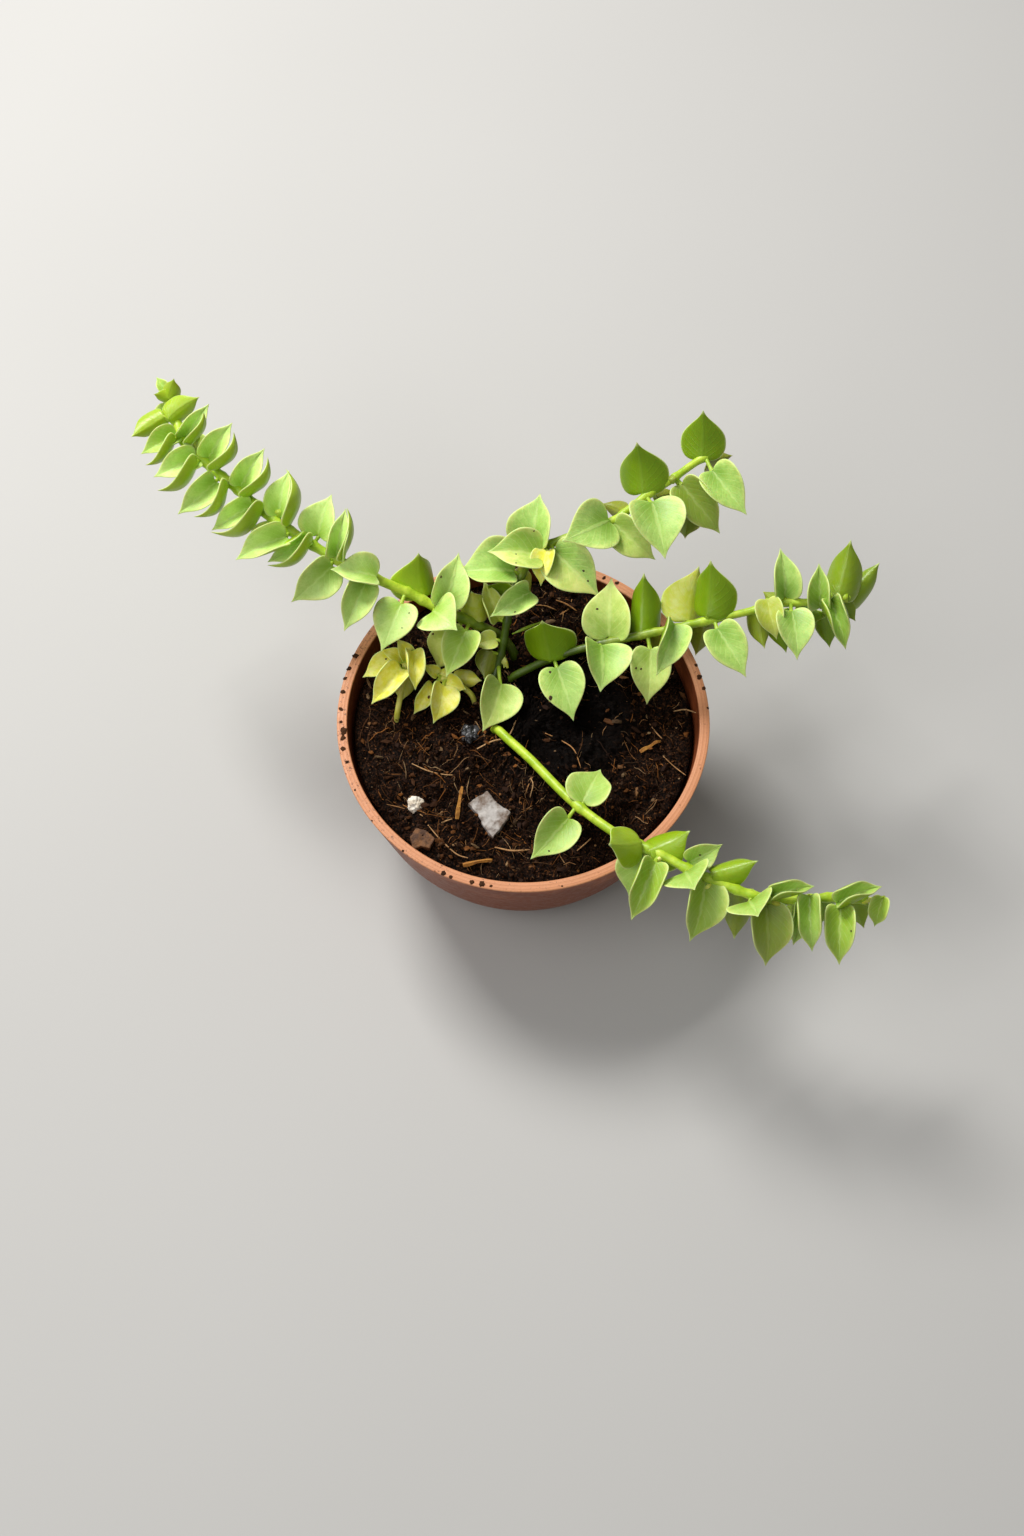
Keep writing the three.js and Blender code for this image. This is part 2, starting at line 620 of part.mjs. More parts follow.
// Round a ring of the blade: left margin under and over, midrib over, right margin over and under, midrib
// under, with each spot's turn on the round stalk.
const AROUND = [
  { half: 0, over: -1, turn: 210 },
  { half: 0, over: 1, turn: 150 },
  { over: 1, turn: 90 },
  { half: 1, over: 1, turn: 30 },
  { half: 1, over: -1, turn: -30 },
  { over: -1, turn: -90 },
];

/** A leaf: a ball drawn out between its tip and its foot in the stem, flattened, and folded at the midrib. */
function leafGeometry(pose) {
  const { foot, base, length, half, along, up, slopes, stalk, arch } = pose;
  const sides = AROUND.length;
  const rows = length < LEAF.young ? OUTLINE.slice(1) : OUTLINE;
  const geometry = new THREE.SphereGeometry(1, sides, rows.length + 3);
  const place = geometry.getAttribute("position");
  const halves = halvesOf(pose);
  const middle = halves[0].over.clone().add(halves[1].over).normalize();
  const opening = Math.max((Math.PI - slopes[0] - slopes[1]) / 2, LEAF.fold);
  const crotch = Math.max(LEAF.rib, LEAF.margin / Math.sin(opening));
  const rise = base.clone().sub(foot).normalize();
  const bend = rise.clone().add(along).normalize();
  const ringAt = (centre, axis, turn) => {
    const over = up.clone().addScaledVector(axis, -up.dot(axis)).normalize();
    const beside = new THREE.Vector3().crossVectors(axis, over);
    return centre.clone()
      .addScaledVector(beside, stalk * Math.cos(turn))
      .addScaledVector(over, stalk * Math.sin(turn));
  };
  for (let i = 0; i < place.count; i++) {
    const ring = Math.floor(i / (sides + 1));
    const spot = AROUND[(i % (sides + 1)) % sides];
    const turn = THREE.MathUtils.degToRad(spot.turn);
    let point = base.clone();
    if (ring === 0) {
      point.addScaledVector(along, length);
    } else if (ring <= rows.length) {
      const row = rows[ring - 1];
      const far = spot.half === undefined ? row.rib : row.edge;
      const bow = arch * length * Math.sin(Math.PI * Math.max(far, 0));
      point.addScaledVector(along, far * length).addScaledVector(middle, bow);
      if (spot.half === undefined) {
        point.addScaledVector(middle, spot.over * row.thick * (spot.over > 0 ? crotch : LEAF.rib));
      } else {
        const { out, over } = halves[spot.half];
        point.addScaledVector(out, row.width * half).addScaledVector(over, spot.over * LEAF.margin);
      }
    } else if (ring === rows.length + 1) {
      point = ringAt(base, bend, turn);
    } else if (ring === rows.length + 2) {
      point = ringAt(foot, rise, turn);
    } else {
      point = foot;
    }
    place.setXYZ(i, point.x, point.y, point.z);
  }
  return geometry;
}

/** A leafy stem: its tube and its leaves on their stalks, as one solid. */
function vine(noted) {
  const curve = stemCurve(noted);
  let plant = solidOf(stemTube(curve, noted.radius));
  for (const one of noted.leaves) {
    plant = plant.add(solidOf(leafGeometry(posed(one, curve, noted.radius))));
  }
  // A fold that fusing seals is filled: only the outer body is kept.
  return plant.decompose().reduce((most, body) => (body.volume() > most.volume() ? body : most));
}

/** A round bar between two points. */
function bar(from, to, radius, sides) {
  const way = to.clone().sub(from);
  const turn = new THREE.Quaternion().setFromUnitVectors(
    new THREE.Vector3(0, 1, 0),
    way.clone().normalize(),
  );
  return new THREE.CylinderGeometry(radius, radius, way.length(), sides)
    .applyQuaternion(turn)
    .translate(...from.clone().add(to).multiplyScalar(0.5).toArray());
}

/** A flat piece lying on the soil, from the pixels of its outline, grown by a margin. */
function flatPiece({ outline, thickness, sunk }, margin) {
  const corners = outline.map((pixel) => atHeight(pixel, SOIL.level));
  const centre = corners.reduce((sum, c) => sum.add(c), new THREE.Vector3());
  centre.divideScalar(corners.length);
  const shape = new THREE.Shape(
    corners.map((corner) => {
      const arm = new THREE.Vector2(corner.x - centre.x, corner.y - centre.y);
      return arm.setLength(arm.length() + CORNER * margin);
    }),
  );
  const depth = thickness + 2 * margin;
  const bottom = soilHeight(centre.x, centre.y) - sunk - margin;
  return new THREE.ExtrudeGeometry(shape, { depth, bevelEnabled: false })
    .translate(centre.x, centre.y, bottom);
}

/** A rounded grain lying on the soil, grown by a margin. */
function grain({ pixel, radius, flat }, margin) {
  const { x, y } = atHeight(pixel, SOIL.level);
  return new THREE.IcosahedronGeometry(radius + margin, GRAIN_DETAIL)
    .scale(1, 1, flat)
    .translate(x, y, soilHeight(x, y) + PROUD * radius);
}

/** A stick lying on the soil between two pixels, grown by a margin. */
function stick(ends, margin) {
  const [from, to] = ends.map((pixel) => {
    const point = atHeight(pixel, SOIL.level);
    return point.setZ(soilHeight(point.x, point.y) + STICK.radius);
  });
  const reach = to.clone().sub(from).setLength(margin);
  return bar(from.sub(reach), to.add(reach), STICK.radius + margin, STICK.sides);
}

/** The soil with a plain hole for each stem and a seat for each piece that lies on it. */
function soil(stems, seats) {
  const holes = stems.map((noted) =>
    stemTube(stemCurve(noted), noted.radius + HOLE_GAP).translate(0, 0, -GAP),
  );
  return [...holes, ...seats].reduce((left, cut) => left.subtract(solidOf(cut)), soilPlug());
}

const VINES = {
  back_vine: BACK_VINE,
  left_vine: LEFT_VINE,
  right_vine: RIGHT_VINE,
  front_vine: FRONT_VINE,
};
const YELLOW_SHOOTS = {
  near_yellow_shoot: NEAR_YELLOW_SHOOT,
  far_yellow_shoot: FAR_YELLOW_SHOOT,
};

/** The loose pieces on the soil, by name: a maker that grows each by a margin, and its finish. */
function loosePieces() {
  return [
    ["grey_chip", (margin) => flatPiece(GREY_CHIP, margin), FINISH.chip],
    ["bark_piece", (margin) => flatPiece(BARK, margin), FINISH.bark],
    ["dark_pebble", (margin) => grain(PEBBLE, margin), FINISH.pebble],
    ["perlite_grain", (margin) => grain(PERLITE, margin), FINISH.perlite],
    ...STICKS.map((ends, i) => [`amber_stick_${i + 1}`, (margin) => stick(ends, margin), FINISH.stick]),
  ];
}

const plant = new THREE.Group();
plant.name = "potted_dischidia";
const loose = loosePieces();
const stems = [...Object.values(VINES), ...Object.values(YELLOW_SHOOTS)];
plant.add(meshOf("pot", pot(), FINISH.pot));
plant.add(meshOf("soil", soil(stems, loose.map(([, make]) => make(GAP))), FINISH.soil));
for (const [name, noted] of Object.entries(VINES)) {
  plant.add(meshOf(name, vine(noted), FINISH.leaf));
}
for (const [name, noted] of Object.entries(YELLOW_SHOOTS)) {
  plant.add(meshOf(name, vine(noted), FINISH.yellowLeaf));
}
for (const [name, make, finish] of loose) {
  plant.add(meshOf(name, solidOf(make(0)), finish));
}

export default plant;
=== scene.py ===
"""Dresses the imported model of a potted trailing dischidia: bowl pot, potting mix, vines and loose pieces.

Everything is in metres in the model's own frame. Places that were noted from the photograph are pixels of
its 1024 x 1536 frame, turned into points by one viewpoint.
"""

from __future__ import annotations

import logging
import math
import random
from collections.abc import Callable
from dataclasses import dataclass, field
from enum import Enum

import bmesh
import bpy
from mathutils import Matrix, Vector, noise
from mathutils.bvhtree import BVHTree

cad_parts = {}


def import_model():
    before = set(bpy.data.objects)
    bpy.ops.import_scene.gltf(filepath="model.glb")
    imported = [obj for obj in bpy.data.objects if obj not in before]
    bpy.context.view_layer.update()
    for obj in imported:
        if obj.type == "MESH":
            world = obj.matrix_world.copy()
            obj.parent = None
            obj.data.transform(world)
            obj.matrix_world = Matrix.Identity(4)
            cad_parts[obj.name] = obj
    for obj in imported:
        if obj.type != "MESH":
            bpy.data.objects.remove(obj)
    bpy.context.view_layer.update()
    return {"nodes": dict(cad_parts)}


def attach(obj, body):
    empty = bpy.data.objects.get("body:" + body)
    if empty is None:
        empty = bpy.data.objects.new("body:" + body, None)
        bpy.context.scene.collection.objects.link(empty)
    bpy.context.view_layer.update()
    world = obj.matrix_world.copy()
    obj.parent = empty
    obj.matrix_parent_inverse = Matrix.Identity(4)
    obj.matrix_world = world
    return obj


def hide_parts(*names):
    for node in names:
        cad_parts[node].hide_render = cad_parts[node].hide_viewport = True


LOG = logging.getLogger("dischidia")
MM = 0.001
BODY = "root"
TUBE_SIDES = 16
THREAD_SIDES = 4
TUBE_LONG = 20.0
STEM_MARKS = 200
SPECK_HEIGHT = 0.12

Pixel = tuple[float, float]
Colour = tuple[float, float, float]
Socket = bpy.types.NodeSocket
Reading = bpy.types.NodeSocket | float
Paint = bpy.types.NodeSocket | Colour


class Face(Enum):
    """The face of a leaf that the photograph shows.

    SIDE is the underside of a cupped leaf seen from beside it. Its first edge is the rim that stands
    towards the eye, and its second is the outline of its belly.
    """

    TOP = 1
    UNDER = -1
    SIDE = 0


class Tone(Enum):
    """How a leaf is coloured: how yellow, how creamy, how olive and dull, and how thick its pale bloom."""

    GREEN = (0.0, 0.0, 0.0, 1.0)
    PALE = (0.1, 0.35, 0.0, 1.0)
    YOUNG = (0.08, 0.0, 0.0, 0.4)
    LIME = (0.5, 0.2, 0.1, 0.45)
    CREAM = (0.1, 0.75, 0.0, 0.8)
    FADED = (0.35, 0.6, 0.0, 0.6)
    YELLOW = (1.0, 0.1, 0.0, 0.1)
    AMBER = (0.85, 0.0, 0.3, 0.0)
    DULL = (0.12, 0.1, 0.45, 0.4)
    OLIVE = (0.35, 0.0, 0.8, 0.1)


TOP = Face.TOP
UNDER = Face.UNDER
SIDE = Face.SIDE


@dataclass(frozen=True)
class Leaf:
    """A leaf as the photograph shows it.

    It holds the pixels of its base, its tip and its two widest edges, the face that shows, the lean of the
    tip towards the eye in degrees, how far in front of its stem it starts in millimetres, its tone, the
    pixel of its foot on the stem where that isn't the place nearest to its base, and the tone of its second
    half where that differs.
    """

    base: Pixel
    tip: Pixel
    edges: tuple[Pixel, Pixel]
    face: Face
    lean: float
    front: float
    tone: Tone = Tone.GREEN
    foot: Pixel | None = None
    second: Tone | None = None


@dataclass(frozen=True)
class Vine:
    """A leafy stem: its CAD node, its radius, its route as pixels with heights, and its leaves."""

    name: str
    radius: float
    route: tuple[tuple[float, float, float], ...]
    leaves: tuple[Leaf, ...]


BACK_VINE = Vine(
    name="back_vine",
    radius=1.3,
    route=(
        (493, 683, 58), (498, 665, 62), (503, 645, 67.5), (507, 622, 73.5), (515, 590, 80),
        (530, 561, 84.5), (545, 547, 87), (562, 539, 89), (611, 522, 92), (642, 499, 94.5),
        (671, 480, 96.5), (698, 461, 98), (718, 451, 99),
    ),
    leaves=(
        Leaf((500, 684), (483, 732), ((477, 700), (522, 702)), TOP, 18, 3.5, Tone.PALE, foot=(499, 663)),
        Leaf((492, 652), (485, 680), ((474, 664), (499, 664)), UNDER, 0, 2, Tone.OLIVE),
        Leaf((496, 640), (472, 645), ((484, 631), (488, 650)), TOP, 0, 1, Tone.LIME),
        Leaf((529, 592), (490, 616), ((507, 590), (519, 615)), TOP, 15, 2),
        Leaf((508, 601), (487, 584), ((492, 602), (508, 583)), UNDER, 16, -3.5),
        Leaf((519, 598), (521, 563), ((513, 580), (531, 580)), UNDER, 30, -4, Tone.LIME),
        Leaf((499, 620), (483, 581), ((484, 604), (502, 600)), TOP, 5, -2.5, Tone.LIME),
        Leaf((540, 556), (487, 551), ((527, 528), (516, 567)), TOP, 5, 3.5, Tone.CREAM, second=Tone.YOUNG),
        Leaf((514, 572), (458, 573), ((490, 537), (495, 583)), TOP, 0, 1.5),
        Leaf((533, 545), (542, 494), ((506, 531), (552, 522)), TOP, 5, -1),
        Leaf((554, 551), (601, 596), ((600, 561), (551, 584)), TOP, 0, 2, second=Tone.CREAM),
        Leaf((547, 551), (540, 586), ((529, 566), (551, 574)), TOP, 8, 3.2, Tone.YELLOW),
        Leaf((608, 521), (563, 542), ((590, 499), (600, 553)), TOP, 25, 3),
        Leaf((614, 523), (655, 561), ((612, 546), (647, 531)), TOP, -5, 0.5, Tone.PALE),
        Leaf((643, 493), (638, 442), ((619, 478), (668, 467)), UNDER, 25, 0.5),
        Leaf((651, 503), (664, 559), ((630, 517), (688, 522)), TOP, 18, 3),
        Leaf((702, 458), (704, 411), ((680, 450), (726, 436)), UNDER, 28, 0.5),
        Leaf((712, 471), (746, 516), ((701, 485), (749, 485)), TOP, 8, 3),
        Leaf((681, 484), (721, 533), ((675, 504), (717, 499)), TOP, -10, -0.5, Tone.DULL),
        Leaf((688, 497), (684, 539), ((676, 519), (701, 524)), TOP, -35, -4, Tone.DULL),
        Leaf((708, 461), (733, 456), ((716, 449), (716, 470)), UNDER, -40, -3, Tone.OLIVE),
        Leaf((655, 498), (677, 491), ((667, 484), (666, 506)), UNDER, -40, -3.5, Tone.OLIVE),
        Leaf((622, 512), (602, 503), ((614, 497), (610, 516)), UNDER, -40, -3.5, Tone.OLIVE),
    ),
)

LEFT_VINE = Vine(
    name="left_vine",
    radius=1.6,
    route=(
        (514, 654, 58), (508, 644, 62), (499, 635, 66), (480, 626, 71), (460, 617, 75),
        (434, 606, 79.5), (409, 593, 83), (379, 580, 87), (336, 559, 91.5), (300, 537, 95),
        (270, 517, 97.5), (236, 488, 99.5), (205, 462, 101), (183, 440, 101.5), (175, 415, 102.5),
        (168, 400, 103.5),
    ),
    leaves=(
        Leaf((466, 631), (447, 678), ((440, 643), (476, 652)), TOP, 12, 3, Tone.YOUNG),
        Leaf((456, 634), (437, 670), ((422, 651), (452, 657)), TOP, -25, -2, Tone.FADED),
        Leaf((479, 623), (472, 591), ((460, 603), (488, 611)), UNDER, 40, 1, Tone.LIME),
        Leaf((445, 605), (460, 553), ((435, 580), (471, 585)), TOP, 5, 0.5),
        Leaf((434, 612), (457, 629), ((449, 592), (430, 637)), TOP, 45, 3),
        Leaf((424, 596), (417, 553), ((389, 577), (435, 583)), UNDER, 25, -1),
        Leaf((401, 604), (382, 652), ((370, 620), (418, 617)), TOP, 10, 2.5),
        Leaf((365, 583), (343, 631), ((338, 605), (379, 592)), TOP, 5, 2),
        Leaf((376, 577), (330, 571), ((352, 551), (357, 583)), TOP, 15, 3.5),
        Leaf((331, 565), (290, 601), ((306, 567), (336, 592)), TOP, 0, 1.5),
        Leaf((341, 557), (346.5, 508), ((342, 535), (351, 535)), SIDE, 15, 3, Tone.YOUNG),
        Leaf((337, 556), (346.5, 509), ((330, 535), (347, 533)), TOP, 19, 2),
        Leaf((319, 536), (330.5, 494), ((299.5, 518), (338, 514)), TOP, 12, 0.5),
        Leaf((311, 538), (267, 564.5), ((292, 548), (299, 558)), SIDE, 5, 3, Tone.YOUNG),
        Leaf((306, 538), (268, 563), ((283, 547), (290, 557)), TOP, 5, 0),
        Leaf((286, 537), (235, 559), ((256, 529), (266, 553)), TOP, 5, 3),
        Leaf((273, 528), (247, 541), ((256, 525), (263, 541)), TOP, -10, -3.5, Tone.CREAM),
        Leaf((288, 524), (288.5, 469), ((284, 500), (298, 497)), SIDE, 5, 4, Tone.YOUNG),
        Leaf((280, 516), (289, 470), ((265, 496), (289, 496)), TOP, 5, 0.5),
        Leaf((262, 507), (211, 533.5), ((244, 511), (251, 527)), SIDE, 0, 4.5, Tone.YOUNG),
        Leaf((252, 506), (212, 531), ((231, 502), (236, 524)), TOP, 5, 1),
        Leaf((247, 495), (267, 457), ((250, 477), (265, 481)), SIDE, 20, 4, Tone.YOUNG),
        Leaf((241, 487), (263.5, 448), ((234, 470), (260, 474)), TOP, 16, 0.5),
        Leaf((226, 485), (193.5, 516.5), ((214, 491), (217, 509)), SIDE, 10, 5, Tone.YOUNG),
        Leaf((215, 482), (178.5, 515), ((200, 477), (206, 508)), TOP, 15, 1.5),
        Leaf((216, 468), (235, 433), ((217, 452), (233, 455)), SIDE, 25, 4, Tone.YOUNG),
        Leaf((209, 458), (232, 422), ((203, 440), (228, 447)), TOP, 20, 0.5),
        Leaf((196, 463), (159, 492), ((175, 469), (186, 482)), SIDE, 15, 5, Tone.YOUNG),
        Leaf((196, 459), (154, 478), ((176, 449), (176, 478)), TOP, 15, 1.5),
        Leaf((191, 442), (203.5, 411.5), ((190, 428), (204, 427)), SIDE, 30, 4, Tone.YOUNG),
        Leaf((186, 437), (208, 404), ((184, 422), (203, 428)), TOP, 29, 0.5),
        Leaf((174, 440), (145, 464.5), ((157, 446), (166, 456)), SIDE, 15, 4.5, Tone.YOUNG),
        Leaf((176, 436), (141, 454.5), ((158, 428), (159, 452)), TOP, 15, 1, Tone.YOUNG),
        Leaf(
            (164, 417), (131.5, 437.5), ((145, 415), (155, 433)), UNDER, 10, 3, Tone.YOUNG, foot=(175, 426)
        ),
        Leaf((199, 437), (209, 459), ((194, 447), (208, 442)), TOP, -10, -3, Tone.CREAM),
        Leaf((169, 411), (151, 414), ((158, 404), (160, 417)), TOP, 10, -0.5, Tone.YOUNG),
        Leaf((168, 403), (174.2, 379), ((163, 390), (182, 388)), UNDER, 35, 1.5, Tone.YOUNG),
        Leaf((170, 399), (153.5, 394.5), ((160, 388), (159, 401)), UNDER, 25, 2.5, Tone.YOUNG),
        Leaf((168, 394), (156, 377), ((156, 387), (168, 383)), TOP, 0, -1.5, Tone.YOUNG),
        Leaf((169, 419), (199, 396), ((175, 396), (192, 414)), UNDER, 10, 3.5, Tone.YOUNG),
    ),
)

RIGHT_VINE = Vine(
    name="right_vine",
    radius=1.3,
    route=(
        (509, 680, 58), (530, 668, 63.5), (555, 657, 68.5), (588, 647, 73), (642, 635, 78.5),
        (679, 627, 81.5), (720, 618, 84), (755, 610, 86), (781, 603, 87.5), (809, 602, 89),
        (828, 597, 90), (848, 598, 91),
    ),
    leaves=(
        Leaf((550, 660), (541, 622), ((527, 653), (576, 638)), UNDER, 40, 2),
        Leaf((557, 668), (574.5, 721), ((540, 687), (588, 687)), TOP, 8, 2),
        Leaf((610, 637), (613, 578), ((583, 612), (632, 609)), TOP, 5, -1, Tone.PALE),
        Leaf((600, 646), (601, 692), ((585, 658), (632, 667)), TOP, 25, 2.5),
        Leaf((641, 634), (643, 573), ((632, 604), (661, 604)), UNDER, 10, 0.5),
        Leaf((650, 649), (648, 705), ((630, 673), (671, 674)), TOP, -5, 0, Tone.PALE),
        Leaf((674, 625), (656, 675), ((659, 648), (684, 655)), TOP, 15, 4),
        Leaf((656, 634), (656, 662), ((645, 644), (669, 644)), UNDER, -45, -3, Tone.OLIVE),
        Leaf((688, 621), (698, 566), ((662, 600), (708, 602)), UNDER, 8, -3.5, Tone.LIME),
        Leaf((707, 616), (711, 561), ((694, 601), (737, 592)), UNDER, 22, 1.5),
        Leaf((703, 626), (696, 657), ((685, 640), (714, 638)), UNDER, -40, -3.5, Tone.OLIVE),
        Leaf((717, 629), (747, 677), ((705, 644), (751, 643)), TOP, 8, 2),
        Leaf((785, 597), (781, 548), ((774, 577), (801, 579)), TOP, 12, 0.5),
        Leaf((778, 603), (763, 591), ((764, 604), (777, 590)), UNDER, -45, -3, Tone.DULL),
        Leaf((767, 600), (776, 640), ((755, 611), (784, 612)), TOP, 0, 4, Tone.LIME),
        Leaf((757, 613), (764, 649), ((748, 626), (771, 636)), UNDER, -10, 0.5, Tone.DULL),
        Leaf((778, 614), (787, 653), ((765, 634), (797, 630)), UNDER, -25, -3),
        Leaf((791, 612), (798, 660), ((777, 626), (815, 628)), TOP, 12, 4.5),
        Leaf((797, 609), (826, 617), ((812, 605), (809, 629)), UNDER, -10, -1),
        Leaf((825, 613), (829, 649), ((814, 632), (841, 634)), UNDER, -30, -4),
        Leaf((821, 607), (820, 563), ((808, 585), (829, 585)), TOP, 20, 1.5, Tone.YOUNG),
        Leaf((838, 597), (852, 540), ((827, 573), (863, 574)), UNDER, 8, 1.5, Tone.YOUNG),
        Leaf((849, 600), (879, 562), ((861, 574), (872, 589)), UNDER, -5, -4, Tone.YOUNG),
        Leaf((830, 600), (847, 649), ((833, 622), (847, 620)), TOP, 5, 4, Tone.YOUNG),
        Leaf((842, 603), (856, 621), ((841, 614), (857, 607)), UNDER, -10, -2, Tone.YOUNG),
    ),
)

FRONT_VINE = Vine(
    name="front_vine",
    radius=1.5,
    route=(
        (496, 729, 58), (510, 741, 61), (530, 759, 64.5), (572, 801, 70.5), (617, 834, 74.5),
        (640, 845, 76), (662, 855, 77), (684, 867, 77.5), (707, 878, 77.5), (743, 892, 77),
        (769, 899, 76.5), (799, 900, 76), (839, 897, 75.5), (867, 900, 75),
    ),
    leaves=(
        Leaf((583, 803), (601.5, 770), ((564, 785), (607, 799)), TOP, -35, 0),
        Leaf((568, 818), (531, 860), ((549, 811), (573, 845)), TOP, 8, 1.5),
        Leaf((640, 843), (610, 845), ((640, 825), (617, 869)), UNDER, 50, 3.5, Tone.YOUNG),
        Leaf((645, 854), (630, 899), ((613, 872), (657, 878)), TOP, -22, -2),
        Leaf((655, 862), (630, 920), ((632, 887), (664, 880)), TOP, 0, 2, Tone.YOUNG),
        Leaf((650, 851), (691, 832), ((662, 833), (692, 861)), UNDER, 5, 1.5),
        Leaf((689, 862), (723, 845), ((696, 845), (719, 864)), TOP, 10, -1.5),
        Leaf((686, 873), (695, 889), ((669, 896), (712, 866)), TOP, 62, 2),
        Leaf((712, 874), (758, 860), ((733, 861), (742, 884)), UNDER, 10, 1.5),
        Leaf((704, 882), (690, 942), ((686, 910), (727, 909)), TOP, -8, 1, Tone.YOUNG),
        Leaf((738, 894), (735, 941), ((720, 921), (753, 922)), UNDER, -30, -2, Tone.DULL),
        Leaf((750, 902), (759, 917), ((735, 925), (772, 888)), TOP, 60, 2),
        Leaf((772, 896), (815, 887), ((793, 881), (795, 890)), TOP, 5, 2.5),
        Leaf((765, 905), (767, 967), ((751, 928), (793, 925)), TOP, -12, 0, Tone.DULL),
        Leaf((809, 896), (811, 952), ((799, 925), (820, 922)), TOP, 0, 2.5),
        Leaf((803, 902), (794, 946), ((793, 920), (808, 924)), TOP, -10, -2),
        Leaf((797, 903), (792, 929), ((786, 913), (800, 917)), UNDER, -40, -3.5, Tone.YOUNG),
        Leaf((829, 902), (820, 925), ((813, 907), (831, 914)), UNDER, -35, -1),
        Leaf((840, 907), (838, 965), ((825, 925), (855, 921)), TOP, 0, 2, Tone.YOUNG),
        Leaf((837, 904), (882, 886), ((857, 884), (861, 893)), TOP, 0, 2.5),
        Leaf((852, 903), (865, 929), ((846, 914), (870, 906)), UNDER, -30, -1, Tone.YOUNG),
        Leaf((883, 897), (875, 927), ((867, 912), (889, 908)), TOP, -20, 1, Tone.YOUNG, foot=(867, 900)),
    ),
)

NEAR_YELLOW_SHOOT = Vine(
    name="near_yellow_shoot",
    radius=0.95,
    route=(
        (474, 700, 58), (470, 693, 60.8), (457, 684, 62.8), (441, 678, 64),
    ),
    leaves=(
        Leaf((437, 674), (423, 665), ((427, 674), (433, 663)), TOP, 25, 1, Tone.YELLOW),
        Leaf((433, 686), (413, 714), ((416, 697), (433, 700)), TOP, 5, -0.5, Tone.YELLOW),
        Leaf((443, 686), (434, 724), ((428, 705), (459, 701)), TOP, 12, 3, Tone.YELLOW),
        Leaf((443, 679), (445, 667), ((438, 673), (451, 673)), UNDER, 20, 0, Tone.YELLOW),
        Leaf((448, 680), (467, 689), ((461, 677), (452, 695)), TOP, 15, 1.5, Tone.YELLOW),
        Leaf((454, 678), (482, 680), ((467, 670), (467, 688)), UNDER, 15, -1, Tone.YELLOW),
    ),
)

FAR_YELLOW_SHOOT = Vine(
    name="far_yellow_shoot",
    radius=0.95,
    route=(
        (397, 716, 58), (400, 698, 62.5), (404, 677, 66), (405, 663, 68.5),
    ),
    leaves=(
        Leaf((397, 662), (362, 677), ((378, 653), (381, 676)), TOP, 0, -2, Tone.YELLOW),
        Leaf((401, 669), (372, 705), ((369, 685), (399, 687)), TOP, 10, 3, Tone.YELLOW),
        Leaf((406, 673), (401, 703), ((391, 688), (415, 690)), UNDER, 0, 0, Tone.AMBER),
        Leaf((400, 657), (381, 650), ((388, 659), (392, 646)), TOP, 25, 0.5, Tone.YELLOW),
        Leaf((407, 657), (397, 638), ((396, 650), (412, 645)), TOP, 30, 0, Tone.YELLOW),
        Leaf((412, 652), (416, 690), ((409, 671), (426, 673)), TOP, 15, 3, Tone.YELLOW),
    ),
)


@dataclass(frozen=True)
class Viewpoint:
    """The photograph's viewpoint, in millimetres, and its frame, in pixels."""

    aim: tuple[float, float, float] = (-3.94, -19.26, 65.0)
    away: float = 680.0
    tilt: float = math.radians(65.29)
    focal: float = 1977.0
    frame: tuple[int, int] = (1024, 1536)

    @property
    def inward(self) -> Vector:
        """The way that the camera looks."""
        return Vector((0.0, math.cos(self.tilt), -math.sin(self.tilt)))

    @property
    def upward(self) -> Vector:
        """The way that is up in the photograph."""
        return Vector((0.0, math.sin(self.tilt), math.cos(self.tilt)))

    @property
    def eye(self) -> Vector:
        """The place of the camera."""
        return Vector(self.aim) - self.inward * self.away

    def sight(self, pixel: Pixel) -> Vector:
        """Gives the way from the eye through a pixel, one millimetre deep.

        Args:
            pixel: The pixel.

        Returns:
            The way.
        """
        across = (pixel[0] - self.frame[0] / 2) / self.focal
        up = (self.frame[1] / 2 - pixel[1]) / self.focal
        return self.inward + Vector((across, 0.0, 0.0)) + self.upward * up

    def at_depth(self, pixel: Pixel, depth: float) -> Vector:
        """Gives the point that a pixel shows at a depth from the eye."""
        return self.eye + self.sight(pixel) * depth

    def at_height(self, pixel: Pixel, height: float) -> Vector:
        """Gives the point that a pixel shows at a height above the table."""
        return self.at_depth(pixel, (height - self.eye.z) / self.sight(pixel).z)

    def seen(self, point: Vector) -> tuple[float, float, float]:
        """Gives the pixel that shows a point, and the point's depth.

        Args:
            point: A place in millimetres.

        Returns:
            The pixel's two coordinates and the depth from the eye.
        """
        way = point - self.eye
        depth = way.dot(self.inward)
        x = self.frame[0] / 2 + self.focal * way.x / depth
        y = self.frame[1] / 2 - self.focal * way.dot(self.upward) / depth
        return x, y, depth


VIEW = Viewpoint()


def clamp(value: float, low: float = 0.0, high: float = 1.0) -> float:
    """Keeps a value between two others."""
    return max(low, min(high, value))


def smooth(value: float, low: float, high: float) -> float:
    """Rises smoothly from 0 at low to 1 at high."""
    share = clamp((value - low) / (high - low))
    return share * share * (3 - 2 * share)


def blend_rows(rows: tuple[tuple[float, ...], ...], share: float) -> list[float]:
    """Reads a table of evenly spaced rows between its rows, on smooth curves.

    Args:
        rows: The rows, each with the same number of values.
        share: How far down the table to read, from 0 to 1.

    Returns:
        One value for each column.
    """
    place = clamp(share) * (len(rows) - 1)
    row = min(int(place), len(rows) - 2)
    t = place - row
    before, here, there, after = (rows[max(0, min(len(rows) - 1, row + k))] for k in (-1, 0, 1, 2))
    return [
        h + 0.5 * t * (n - b + t * (2 * b - 5 * h + 4 * n - a + t * (3 * (h - n) + a - b)))
        for b, h, n, a in zip(before, here, there, after)
    ]


